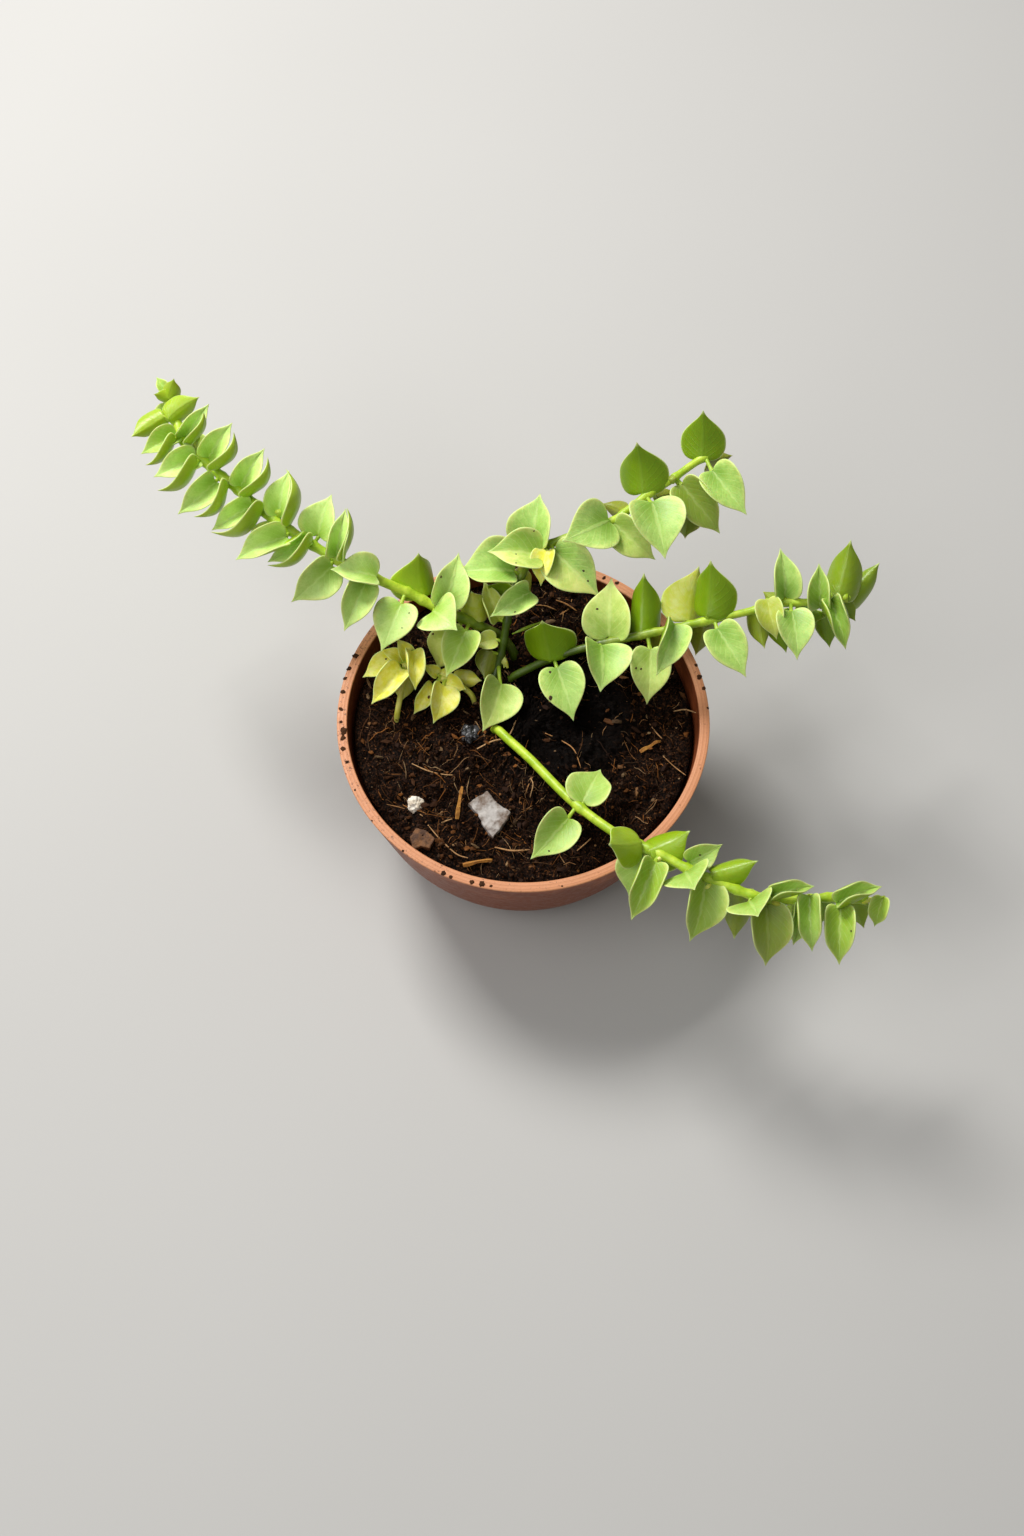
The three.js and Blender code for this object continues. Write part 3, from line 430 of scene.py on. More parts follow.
class Path:
    """A smooth line through points, read by its share of the length."""

    def __init__(self, points: list[Vector], steps: int = 24) -> None:
        """Samples the line.

        Args:
            points: The places that the line passes, in millimetres.
            steps: How many samples lie between two of them.
        """
        first = points[0] * 2 - points[1]
        last = points[-1] * 2 - points[-2]
        posts = [first, *points, last]
        self.samples = [points[0].copy()]
        for span in range(len(points) - 1):
            for step in range(1, steps + 1):
                self.samples.append(self._between(posts[span : span + 4], step / steps))
        self.reach = [0.0]
        for a, b in zip(self.samples, self.samples[1:]):
            self.reach.append(self.reach[-1] + (b - a).length)

    @staticmethod
    def _between(posts: list[Vector], t: float) -> Vector:
        """Gives a point between the middle two of four posts, on a centripetal curve.

        Args:
            posts: The four places in order.
            t: The share of the way between the middle two.

        Returns:
            The point.
        """
        p, q, r, s = posts
        a, b, c = (math.sqrt(max((m - n).length, 1e-6)) for m, n in ((p, q), (q, r), (r, s)))
        leave = ((q - p) / a - (r - p) / (a + b) + (r - q) / b) * b
        enter = ((r - q) / b - (s - q) / (b + c) + (s - r) / c) * b
        bend = (r - q) * 3 - leave * 2 - enter
        turn = (q - r) * 2 + leave + enter
        return q + leave * t + bend * t**2 + turn * t**3

    @property
    def length(self) -> float:
        """The whole length in millimetres."""
        return self.reach[-1]

    def at(self, share: float) -> Vector:
        """Gives the point at a share of the length.

        Args:
            share: From 0 at the start to 1 at the end.

        Returns:
            The point.
        """
        goal = clamp(share) * self.length
        low, high = 0, len(self.reach) - 1
        while high - low > 1:
            middle = (low + high) // 2
            if self.reach[middle] <= goal:
                low = middle
            else:
                high = middle
        gap = max(self.reach[high] - self.reach[low], 1e-9)
        return self.samples[low].lerp(self.samples[high], (goal - self.reach[low]) / gap)

    def frames(self, count: int) -> list[tuple[Vector, Vector, Vector]]:
        """Gives evenly spaced points with two directions square to the line, which don't twist.

        Args:
            count: The number of points.

        Returns:
            A centre, a first and a second direction for each point.
        """
        centres = [self.at(i / (count - 1)) for i in range(count)]
        across = Vector((0.31, 0.95, 0.05))
        out = []
        for i, centre in enumerate(centres):
            way = (centres[min(i + 1, count - 1)] - centres[max(i - 1, 0)]).normalized()
            across = (across - way * across.dot(way)).normalized()
            out.append((centre, across, way.cross(across)))
        return out


@dataclass
class LeafPose:
    """A leaf's place: its foot on the stem, its base, its size, its axes and the slope of its halves.

    It also holds the radius of its stalk, how it arches along its length, and how plump its lower face is.
    """

    foot: Vector
    base: Vector
    length: float
    half: float
    along: Vector
    side: Vector
    up: Vector
    slopes: tuple[float, float]
    stalk: float
    arch: float
    plump: float

    @property
    def crown(self) -> Vector:
        """The way that both halves of the upper face look together."""
        roll = (self.slopes[1] - self.slopes[0]) / 2
        return self.up * math.cos(roll) - self.side * math.sin(roll)


class LeafPoser:
    """Stands a noted leaf up in space, on its stem."""

    width = 0.88
    stalk = 0.85
    arch = 0.06
    belly = 0.9
    plump = 1.9
    sag = 1.3
    steepest = math.radians(100)
    spare = 1.02
    rim_room = 0.1
    stalk_share = 0.12
    marks = 240

    def __init__(self, vine: Vine, path: Path) -> None:
        """Keeps the stem's line as pixels.

        Args:
            vine: The leafy stem.
            path: Its line, in millimetres.
        """
        self.vine = vine
        self.spots = []
        for mark in range(self.marks + 1):
            point = path.at(mark / self.marks)
            x, y, depth = VIEW.seen(point)
            self.spots.append((x, y, depth, point))

    def _slope(self, seen: float, half: float) -> float:
        """Gives the slope of a half whose width shows shortened."""
        return min(math.acos(clamp(seen / half, -1.0, 1.0)), self.steepest)

    def pose(self, leaf: Leaf) -> LeafPose:
        """Works out a leaf's place.

        Args:
            leaf: The leaf as it was noted.

        Returns:
            Its place in millimetres.
        """
        aim = leaf.foot or leaf.base
        spot = min(self.spots, key=lambda s: math.hypot(s[0] - aim[0], s[1] - aim[1]))
        depth = spot[2] - leaf.front
        base = VIEW.at_depth(leaf.base, depth)
        flat_tip = VIEW.at_depth(leaf.tip, depth)
        to_eye = (VIEW.eye - base).normalized()
        tip = flat_tip + to_eye * ((flat_tip - base).length * math.tan(math.radians(leaf.lean)))
        along = tip - base
        length = along.length
        along.normalize()
        up = (to_eye - along * to_eye.dot(along)).normalized()
        side = along.cross(up)
        widths = [(VIEW.at_depth(edge, depth) - base).dot(side) for edge in leaf.edges]
        arch = self.arch
        plump = self.plump if leaf.face is SIDE else 1.0
        if leaf.face is SIDE:
            if widths[0] > 0:
                side.negate()
            up.negate()
            rim, hang = abs(widths[0]), self.sag * abs(widths[1])
            arch = -max(hang - self.belly, 0.0) / length
            seen = rim + 0.5 * hang
            half = max(self.width * length / 2, self.spare * seen)
            slopes = (-self._slope(seen, half), self.steepest)
        else:
            left, right = -min(widths), max(widths)
            half = max(self.width * length / 2, self.spare * left, self.spare * right)
            slopes = (self._slope(left, half), self._slope(right, half))
            if leaf.face is UNDER:
                slopes = slopes[::-1]
                side.negate()
                up.negate()
        stalk = min(self.stalk, self.vine.radius - self.rim_room, self.stalk_share * length)
        return LeafPose(spot[3], base, length, half, along, side, up, slopes, stalk, arch, plump)


class Batch:
    """A mesh that grows by small parts, each built in a mesh of its own."""

    def __init__(self, *marks: str) -> None:
        """Starts an empty mesh.

        Args:
            *marks: The names of the four-part point attributes that its finishes read.
        """
        self.marks = marks
        self.bm = self.part()

    def part(self) -> bmesh.types.BMesh:
        """Starts a small part with the same attributes.

        Returns:
            Its empty mesh.
        """
        part = bmesh.new()
        for mark in self.marks:
            part.verts.layers.float_color.new(mark)
        return part

    def mark(self, part: bmesh.types.BMesh, name: str, value: tuple) -> None:
        """Sets one attribute of all of a part's points.

        Args:
            part: The part.
            name: The attribute's name.
            value: Its four numbers.
        """
        layer = part.verts.layers.float_color[name]
        for vert in part.verts:
            vert[layer] = value

    def add(self, part: bmesh.types.BMesh, material: int = 0, smooth: bool = True) -> None:
        """Takes a finished part in, and frees it.

        Args:
            part: The part.
            material: The number of its material among the piece's materials.
            smooth: Whether its faces are shaded as one round surface.
        """
        bmesh.ops.recalc_face_normals(part, faces=part.faces[:])
        for face in part.faces:
            face.material_index = material
            face.smooth = smooth
        mesh = bpy.data.meshes.new("part")
        part.to_mesh(mesh)
        part.free()
        self.bm.from_mesh(mesh)
        bpy.data.meshes.remove(mesh)


class LeafMaker:
    """Draws leaves: a ball drawn out from its tip to its foot, flattened, cupped and folded."""

    around = 28
    blade_rings = 26
    stalk_rings = 4
    rib = 0.82
    margin = 0.6
    roundness = 0.72
    curl = 0.6
    # Rows from the tip to the sinus at the base: where the edge and the midrib stand along the blade, how
    # wide the blade is there, and how thick.
    outline = (
        (1.0, 1.0, 0.0, 0.0),
        (0.965, 0.965, 0.035, 0.22),
        (0.925, 0.925, 0.075, 0.36),
        (0.87, 0.87, 0.145, 0.5),
        (0.79, 0.79, 0.3, 0.66),
        (0.69, 0.69, 0.525, 0.8),
        (0.57, 0.58, 0.76, 0.9),
        (0.44, 0.46, 0.935, 0.97),
        (0.3, 0.33, 1.0, 1.0),
        (0.165, 0.215, 0.985, 1.0),
        (0.05, 0.12, 0.87, 1.0),
        (-0.03, 0.06, 0.67, 1.0),
        (-0.06, 0.03, 0.4, 0.98),
        (-0.035, 0.01, 0.17, 0.95),
    )

    def _half(self, pose: LeafPose, sign: int, q: float) -> tuple[Vector, Vector]:
        """Gives the way out to a share of the half width, and the way over the upper face there.

        Args:
            pose: The leaf's place.
            sign: -1 for the left half and 1 for the right.
            q: The share of the half width.

        Returns:
            The way out along the half, and the way square to its upper face.
        """
        slope = pose.slopes[0 if sign < 0 else 1]
        bend = max(self.curl * sum(pose.slopes), 0.01)
        crease = slope - bend / 2
        turn = crease + bend * q
        stretch = (bend / 2) / math.sin(bend / 2)
        out = stretch * (math.sin(turn) - math.sin(crease)) / bend
        rise = stretch * (math.cos(crease) - math.cos(turn)) / bend
        way = pose.side * (sign * out) + pose.up * rise
        over = pose.up * math.cos(turn) - pose.side * (sign * math.sin(turn))
        return way, over

    def _blade_point(self, pose: LeafPose, share: float, turn: float, seed: float) -> tuple[Vector, tuple]:
        """Gives a point of the blade and its mark in the blade attribute.

        Args:
            pose: The leaf's place.
            share: How far from the tip to the base it is.
            turn: Its angle round the drawn-out ball.
            seed: A number that sets the leaf's waves apart.

        Returns:
            The point in millimetres, and its mark.
        """
        edge, rib, width, thick = blend_rows(self.outline, share)
        across = math.cos(turn)
        over_share = math.sin(turn)
        reach = abs(across)
        sign = -1 if across < 0 else 1
        far = rib + (edge - rib) * reach**1.6
        way, over = self._half(pose, sign, reach * max(width, 0.0))
        size = clamp(pose.length / 16, 0.55, 1.0)
        body = size * thick * (self.rib + (self.margin - self.rib) * reach)
        lift = math.copysign(body * abs(over_share) ** self.roundness, over_share)
        if over_share < 0:
            lift *= 1 + (pose.plump - 1) * math.sin(math.pi * reach)
        wave = noise.noise(Vector((far * 2.1 + seed, sign * 3.7, seed * 1.7)))
        lift += 0.045 * pose.half * wave * reach**2 * width
        arch = pose.arch * pose.length * math.sin(math.pi * clamp(far))
        sway = 0.025 * math.sin(seed * 2.3) * smooth(far, 0.55, 1.15)
        curl = 0.04 * math.sin(seed * 5.1) * smooth(far, 0.5, 1.15)
        point = pose.base + pose.along * (far * pose.length) + way * pose.half + over * lift
        point += pose.crown * (arch + curl * pose.length) + pose.side * (sway * pose.length)
        upper = clamp(0.5 + 2.2 * over_share)
        return point, (reach, clamp(far), upper, 0.0)

    def _stalk_point(self, pose: LeafPose, share: float, turn: float) -> Vector:
        """Gives a point of the round stalk, at a share of its way from the blade to the stem.

        Args:
            pose: The leaf's place.
            share: The share of the way.
            turn: Its angle round the stalk.

        Returns:
            The point in millimetres.
        """
        rise = pose.base - pose.foot
        rise = rise.normalized() if rise.length > 1e-6 else pose.along
        axis = (pose.along * (1.2 - share) + rise).normalized()
        over = (pose.up - axis * pose.up.dot(axis)).normalized()
        beside = axis.cross(over)
        radius = pose.stalk * (0.95 - 0.3 * math.sin(math.pi * share) + 0.2 * share)
        offset = beside * math.cos(turn) + over * math.sin(turn)
        return pose.base.lerp(pose.foot, share) + offset * radius

    def add(self, plant: Batch, pose: LeafPose, leaf: Leaf, seed: float) -> None:
        """Adds one leaf to a mesh.

        Args:
            plant: The mesh that it joins.
            pose: The leaf's place.
            leaf: The leaf as it was noted, for its tones.
            seed: A number that sets its small waves apart from its neighbours'.
        """
        first = Vector(leaf.tone.value)
        second = Vector((leaf.second or leaf.tone).value)
        rows = self.blade_rings + self.stalk_rings + 1
        part = plant.part()
        blade = part.verts.layers.float_color["blade"]
        tone = part.verts.layers.float_color["tone"]
        bmesh.ops.create_uvsphere(part, u_segments=self.around, v_segments=rows, radius=1.0)
        for vert in part.verts:
            turn = math.atan2(vert.co.y, vert.co.x)
            row = round(rows * math.acos(clamp(vert.co.z, -1.0, 1.0)) / math.pi)
            mark = (0.0, 0.0, 0.5, 1.0)
            if row == rows:
                point = pose.foot
            elif row > self.blade_rings:
                share = (row - self.blade_rings - 1) / (self.stalk_rings - 1)
                point = self._stalk_point(pose, share, turn)
            else:
                point, mark = self._blade_point(pose, row / self.blade_rings, turn, seed)
            vert.co = point * MM
            vert[blade] = mark
            vert[tone] = first.lerp(second, smooth(math.cos(turn), -0.12, 0.12))
        plant.add(part)


def bent_tube(part: bmesh.types.BMesh, path: Path, radius: Callable[[float], float], rings: int) -> None:
    """Builds a closed tube along a line, in an empty part.

    Args:
        part: The empty mesh.
        path: The line, in millimetres.
        radius: A function that gives the radius at a share of the length.
        rings: How many rings it has along its length.
    """
    sides = TUBE_SIDES if path.length > TUBE_LONG else THREAD_SIDES
    bmesh.ops.create_cone(part, cap_ends=True, segments=sides, radius1=1, radius2=1, depth=1)
    long_edges = [edge for edge in part.edges if abs(edge.verts[0].co.z - edge.verts[1].co.z) > 0.5]
    bmesh.ops.subdivide_edges(part, edges=long_edges, cuts=rings - 2)
    frames = path.frames(rings)
    for vert in part.verts:
        ring = round((vert.co.z + 0.5) * (rings - 1))
        centre, across, beside = frames[ring]
        size = radius(ring / (rings - 1))
        vert.co = (centre + (across * vert.co.x + beside * vert.co.y) * size) * MM


def piece_from(
    bm: bmesh.types.BMesh, name: str, materials: list[bpy.types.Material]
) -> bpy.types.Object:
    """Makes a finished piece of a bmesh, and lets it ride on the body.

    Args:
        bm: The mesh in metres. It is freed.
        name: The piece's name.
        materials: Its materials, in the order of its faces' material numbers.

    Returns:
        The new object, at the origin.
    """
    mesh = bpy.data.meshes.new(name)
    bm.to_mesh(mesh)
    bm.free()
    for material in materials:
        mesh.materials.append(material)
    piece = bpy.data.objects.new(name, mesh)
    bpy.context.scene.collection.objects.link(piece)
    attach(piece, BODY)
    LOG.info("%s: %d faces", name, len(mesh.polygons))
    return piece


class Nodes:
    """Builds one procedural material, node by node."""

    def __init__(self, name: str, **sockets: float | Colour) -> None:
        """Starts a material on a Principled shader.

        Args:
            name: The material's name.
            **sockets: Constant values for the shader's sockets, with underscores for spaces.
        """
        self.material = bpy.data.materials.new(name)
        self.material.use_nodes = True
        self.tree = self.material.node_tree
        self.shader = self.tree.nodes["Principled BSDF"]
        for socket, value in sockets.items():
            self.shader.inputs[socket.replace("_", " ")].default_value = value
        self.place = self.tree.nodes.new("ShaderNodeTexCoord").outputs["Object"]

    def put(self, socket: Socket, value: Reading | Colour) -> None:
        """Links an output to a socket, or sets the socket to a constant.

        Args:
            socket: The socket to fill.
            value: An output, a number or a colour.
        """
        if isinstance(value, bpy.types.NodeSocket):
            self.tree.links.new(value, socket)
        elif isinstance(value, tuple) and len(value) == 3 and len(socket.default_value) == 4:
            socket.default_value = (*value, 1.0)
        else:
            socket.default_value = value

    def attribute(self, name: str) -> tuple[Socket, Socket, Socket, Socket]:
        """Reads a four-part attribute.

        Args:
            name: The attribute's name.

        Returns:
            Its red, green, blue and alpha outputs.
        """
        node = self.tree.nodes.new("ShaderNodeAttribute")
        node.attribute_name = name
        split = self.tree.nodes.new("ShaderNodeSeparateColor")
        self.tree.links.new(node.outputs["Color"], split.inputs["Color"])
        return (*split.outputs, node.outputs["Alpha"])

    def noise(self, scale: float, detail: float, rough: float) -> Socket:
        """Gives a noise pattern's value, on Object coordinates in metres.

        Args:
            scale: How many patches lie in a metre.
            detail: How many finer layers it has.
            rough: How strong the finer layers are.

        Returns:
            The pattern's output.
        """
        node = self.tree.nodes.new("ShaderNodeTexNoise")
        node.inputs["Scale"].default_value = scale
        node.inputs["Detail"].default_value = detail
        node.inputs["Roughness"].default_value = rough
        self.tree.links.new(self.place, node.inputs["Vector"])
        return node.outputs["Fac"]

    def cells(self, scale: float) -> Socket:
        """Gives the distance output of a cell pattern on Object coordinates.

        Args:
            scale: How many cells lie in a metre.

        Returns:
            The distance to the middle of the cell.
        """
        node = self.tree.nodes.new("ShaderNodeTexVoronoi")
        node.inputs["Scale"].default_value = scale
        self.tree.links.new(self.place, node.inputs["Vector"])
        return node.outputs["Distance"]

    def math(self, operation: str, first: Reading, second: Reading = 0.0, third: Reading = 0.0) -> Socket:
        """Gives the result of a Math node.

        Args:
            operation: What it works out.
            first: Its first value.
            second: Its second value.
            third: Its third value.

        Returns:
            The result's output.
        """
        node = self.tree.nodes.new("ShaderNodeMath")
        node.operation = operation
        for socket, value in zip(node.inputs, (first, second, third)):
            self.put(socket, value)
        return node.outputs[0]

    def rise(self, value: Reading, low: float, high: float, start: float = 0.0, end: float = 1.0) -> Socket:
        """Gives a smooth step from start at low to end at high.

        Args:
            value: What is read.
            low: Where the step begins.
            high: Where it ends.
            start: The result up to low.
            end: The result from high.

        Returns:
            The result's output.
        """
        node = self.tree.nodes.new("ShaderNodeMapRange")
        node.interpolation_type = "SMOOTHSTEP"
        for socket, number in zip(node.inputs, (value, low, high, start, end)):
            self.put(socket, number)
        return node.outputs[0]

    def mix(self, share: Reading, first: Paint, second: Paint) -> Socket:
        """Gives a mix of two colours.

        Args:
            share: How much of the second shows.
            first: The first colour.
            second: The second colour.

        Returns:
            The mixed colour's output.
        """
        node = self.tree.nodes.new("ShaderNodeMix")
        node.data_type = "RGBA"
        self.put(node.inputs["Factor"], share)
        self.put(node.inputs[6], first)
        self.put(node.inputs[7], second)
        return node.outputs[2]

    def bump(self, height: Socket, distance: float) -> None:
        """Roughs up the surface by a height pattern.

        Args:
            height: The pattern.
            distance: Its relief in metres.
        """
        node = self.tree.nodes.new("ShaderNodeBump")
        node.inputs["Distance"].default_value = distance
        node.inputs["Strength"].default_value = 1.0
        self.tree.links.new(height, node.inputs["Height"])
        self.tree.links.new(node.outputs["Normal"], self.shader.inputs["Normal"])

    def finish(self, colour: Paint, roughness: Socket | None = None) -> bpy.types.Material:
        """Connects the colour and the roughness, and gives the material.

        Args:
            colour: The surface colour.
            roughness: Its roughness, where that varies.

        Returns:
            The material.
        """
        self.put(self.shader.inputs["Base Color"], colour)
        if roughness is not None:
            self.put(self.shader.inputs["Roughness"], roughness)
        return self.material


@dataclass(frozen=True)
class LeafFinish:
    """Waxy leaf flesh: pale bloom over green on top, glossy below, a cream margin and faint veins."""

    name: str = "leaf_flesh"
    bloom: Colour = (0.54, 0.77, 0.2)
    upper: Colour = (0.18, 0.39, 0.02)
    lower: Colour = (0.2, 0.34, 0.004)
    base: Colour = (0.11, 0.22, 0.003)
    margin: Colour = (0.72, 0.86, 0.32)
    cream: Colour = (0.82, 0.86, 0.27)
    yellow: Colour = (0.78, 0.76, 0.07)
    pale_yellow: Colour = (0.88, 0.86, 0.26)
    olive: Colour = (0.18, 0.2, 0.012)
    stalk: Colour = (0.4, 0.58, 0.04)

    def material(self) -> bpy.types.Material:
        """Builds the material.

        Returns:
            The finished material.
        """
        n = Nodes(self.name, Subsurface_Weight=0.12, Subsurface_Scale=0.002, Specular_IOR_Level=0.45)
        reach, along, upper, stalk = n.attribute("blade")
        yellow, cream, olive, bloom = n.attribute("tone")
        patches = n.noise(330, 4, 0.6)
        grain = n.noise(1500, 3, 0.6)
        broad = n.noise(90, 2, 0.5)
        # The upper face: bloom in patches, greener towards the stalk and between the veins.
        ribs = n.math("SUBTRACT", along, n.math("MULTIPLY", reach, 0.42))
        comb = n.math("SINE", n.math("MULTIPLY", ribs, 46.0))
        vein = n.math("MULTIPLY", n.rise(comb, 0.72, 1.0), n.rise(reach, 0.04, 0.3))
        midrib = n.rise(reach, 0.10, 0.03)
        veins = n.math("MAXIMUM", n.math("MULTIPLY", vein, 0.35), n.math("MULTIPLY", midrib, 0.7))
        thick = n.math("MULTIPLY", bloom, n.rise(patches, 0.3, 0.66, 0.62, 1.0))
        near_stalk = n.math("MULTIPLY", n.rise(along, 0.5, 0.04), n.rise(reach, 0.9, 0.2))
        thick = n.math("MULTIPLY", thick, n.math("SUBTRACT", 1.0, n.math("MULTIPLY", near_stalk, 0.6)))
        middle = n.math("MULTIPLY", n.rise(reach, 0.8, 0.1), n.rise(patches, 0.3, 0.6, 0.1, 0.24))
        thick = n.math("MULTIPLY", thick, n.math("SUBTRACT", 1.0, middle))
        top = n.mix(thick, self.upper, self.bloom)
        top = n.mix(n.rise(grain, 0.45, 0.7, 0.0, 0.24), top, self.upper)
        top = n.mix(n.math("MULTIPLY", near_stalk, 0.35), top, self.base)
        border = n.rise(n.math("ADD", reach, n.math("MULTIPLY", patches, 0.35)), 0.85, 1.2, 0.0, 0.5)
        top = n.mix(border, top, self.cream)
        top = n.mix(n.math("MULTIPLY", veins, 0.4), top, self.margin)
        # The under face: clear green, darker in broad stretches.
        under = n.mix(n.rise(broad, 0.4, 0.72, 0.0, 0.4), self.lower, self.base)
        under = n.mix(n.math("MULTIPLY", midrib, 0.02), under, self.margin)
        under = n.mix(n.rise(reach, 0.72, 1.0, 0.0, 0.3), under, self.stalk)
        flesh = n.mix(upper, under, top)
        # Fading, creamy and dull leaves.
        spread = n.math("MULTIPLY", cream, n.rise(n.math("ADD", along, patches), 0.55, 1.3, 0.25, 1.0))
        flesh = n.mix(spread, flesh, self.cream)
        ripe = n.mix(n.rise(patches, 0.38, 0.66), self.yellow, self.pale_yellow)
        flesh = n.mix(n.math("MULTIPLY", yellow, n.rise(broad, 0.2, 0.5, 0.93, 1.0)), flesh, ripe)
        flesh = n.mix(n.math("MULTIPLY", olive, n.rise(patches, 0.3, 0.7, 0.7, 1.0)), flesh, self.olive)
        rim = n.rise(n.math("ADD", reach, n.math("MULTIPLY", patches, 0.05)), 0.945, 1.0, 0.0, 0.75)
        rim = n.math("MAXIMUM", rim, n.rise(along, 0.88, 0.98, 0.0, 0.8))
        flesh = n.mix(rim, flesh, self.margin)
        flesh = n.mix(n.math("MULTIPLY", stalk, 0.8), flesh, self.stalk)
        n.bump(n.math("ADD", n.math("MULTIPLY", grain, 0.5), n.math("MULTIPLY", veins, -0.8)), 0.00012)
        rough = n.math("ADD", n.math("MULTIPLY", upper, 0.12), n.rise(patches, 0.3, 0.7, 0.28, 0.4))
        return n.finish(flesh, rough)


@dataclass(frozen=True)
class StemFinish:
    """Smooth green stem skin, with paler streaks and brownish flecks, and darker green near the base, which
    is painted shade under the crown's leaves.
    """

    name: str = "stem_skin"
    base_shade: Colour = (0.055, 0.1, 0.002)
    green: Colour = (0.34, 0.53, 0.014)
    light: Colour = (0.54, 0.71, 0.05)
    fleck: Colour = (0.12, 0.12, 0.02)
    ages: tuple[float, float] = (0.12, 0.42)

    def material(self) -> bpy.types.Material:
        """Builds the material.

        Returns:
            The finished material.
        """
        n = Nodes(self.name, Subsurface_Weight=0.08, Subsurface_Scale=0.0015, Roughness=0.42)
        streaks = n.noise(240, 3, 0.5)
        flecks = n.noise(900, 2, 0.5)
        colour = n.mix(n.rise(streaks, 0.35, 0.65), self.green, self.light)
        _, along, _, _ = n.attribute("blade")
        # Painted shade: darker green from the base out over the shade span.
        from_base = n.math("ADD", along, n.math("MULTIPLY", streaks, 0.16))
        colour = n.mix(n.rise(from_base, *self.ages), self.base_shade, colour)
        colour = n.mix(n.rise(flecks, 0.62, 0.72, 0.0, 0.3), colour, self.fleck)
        n.bump(flecks, 0.0001)
        return n.finish(colour)


@dataclass(frozen=True)
class PlainFinish:
    """A finish of two colours in patches with a rough grain."""

    name: str
    first: Colour
    second: Colour
    scale: float
    roughness: float = 0.8
    relief: float = 0.0002

    def material(self) -> bpy.types.Material:
        """Builds the material.

        Returns:
            The finished material.
        """
        n = Nodes(self.name, Roughness=self.roughness)
        patches = n.noise(self.scale, 4, 0.6)
        grain = n.noise(self.scale * 5, 3, 0.6)
        share = n.math("MULTIPLY", n.rise(patches, 0.38, 0.64), n.rise(grain, 0.3, 0.6, 0.7, 1.0))
        n.bump(n.math("ADD", patches, n.math("MULTIPLY", grain, 0.5)), self.relief)
        return n.finish(n.mix(share, self.first, self.second))


@dataclass(frozen=True)
class PotFinish:
    """Moulded terracotta-coloured plastic, with a fine grain and stains: a lighter salmon on the top of the
    lip, which is a painted highlight, and darker within the rim, which is painted shade.
    """

    clay: Colour = (0.31, 0.082, 0.026)
    lit_lip: Colour = (0.7, 0.31, 0.15)
    deep: Colour = (0.2, 0.045, 0.012)
    stain: Colour = (0.16, 0.05, 0.02)
    dirt: Colour = (0.09, 0.035, 0.016)
    lip_height: float = 0.064
    line_gap: float = 0.0012

    def material(self) -> bpy.types.Material:
        """Builds the material.

        Returns:
            The finished material.
        """
        n = Nodes("pot_plastic", Specular_IOR_Level=0.45)
        split = n.tree.nodes.new("ShaderNodeSeparateXYZ")
        n.tree.links.new(n.place, split.inputs[0])
        height = split.outputs["Z"]
        cloud = n.noise(60, 4, 0.6)
        grain = n.noise(1400, 3, 0.6)
        marks = n.noise(420, 4, 0.7)
        body = n.mix(n.rise(cloud, 0.35, 0.68), self.clay, self.deep)
        # Painted highlight: the top of the lip is a lighter salmon.
        lip = n.math("MULTIPLY", n.rise(height, self.lip_height, self.lip_height + 0.0008), 0.9)
        body = n.mix(n.math("MULTIPLY", lip, n.rise(grain, 0.25, 0.6, 0.8, 1.0)), body, self.lit_lip)
        near_top = n.rise(height, 0.03, self.lip_height, 0.0, 1.0)
        spots = n.math("MULTIPLY", n.rise(marks, 0.63, 0.7), near_top)
        body = n.mix(n.math("MULTIPLY", spots, 0.75), body, self.stain)
        # Rings of the mould on the lip, with dirt held between them, most of it on the left.
        radius = n.tree.nodes.new("ShaderNodeVectorMath")
        radius.operation = "LENGTH"
        flat = n.tree.nodes.new("ShaderNodeCombineXYZ")
        n.put(flat.inputs["X"], split.outputs["X"])
        n.put(flat.inputs["Y"], split.outputs["Y"])
        n.put(radius.inputs[0], flat.outputs[0])
        turns = n.math("MULTIPLY", radius.outputs["Value"], math.tau / self.line_gap)
        lines = n.math("MULTIPLY", n.math("SINE", turns), lip)
        dirty = n.math("ADD", n.noise(900, 4, 0.7), n.math("MULTIPLY", split.outputs["X"], -0.9))
        dirty = n.math("MULTIPLY", n.rise(dirty, 0.62, 0.7), n.rise(height, 0.05, self.lip_height))
        body = n.mix(n.math("MULTIPLY", dirty, 0.8), body, self.dirt)
        body = n.mix(n.math("MULTIPLY", n.rise(lines, 0.3, 1.0), 0.3), body, self.clay)
        # Painted shade: darker within the rim, below the top of the lip.
        inside_shade = n.rise(radius.outputs["Value"], 0.062, 0.0614)
        inside_shade = n.math("MULTIPLY", inside_shade, n.rise(height, 0.0649, 0.0635))
        body = n.mix(n.math("MULTIPLY", inside_shade, 0.8), body, self.deep)
        relief = n.math("ADD", n.math("MULTIPLY", grain, 0.4), cloud)
        n.bump(n.math("ADD", relief, n.math("MULTIPLY", lines, 0.12)), 0.00015)
        return n.finish(body, n.rise(marks, 0.3, 0.7, 0.42, 0.62))


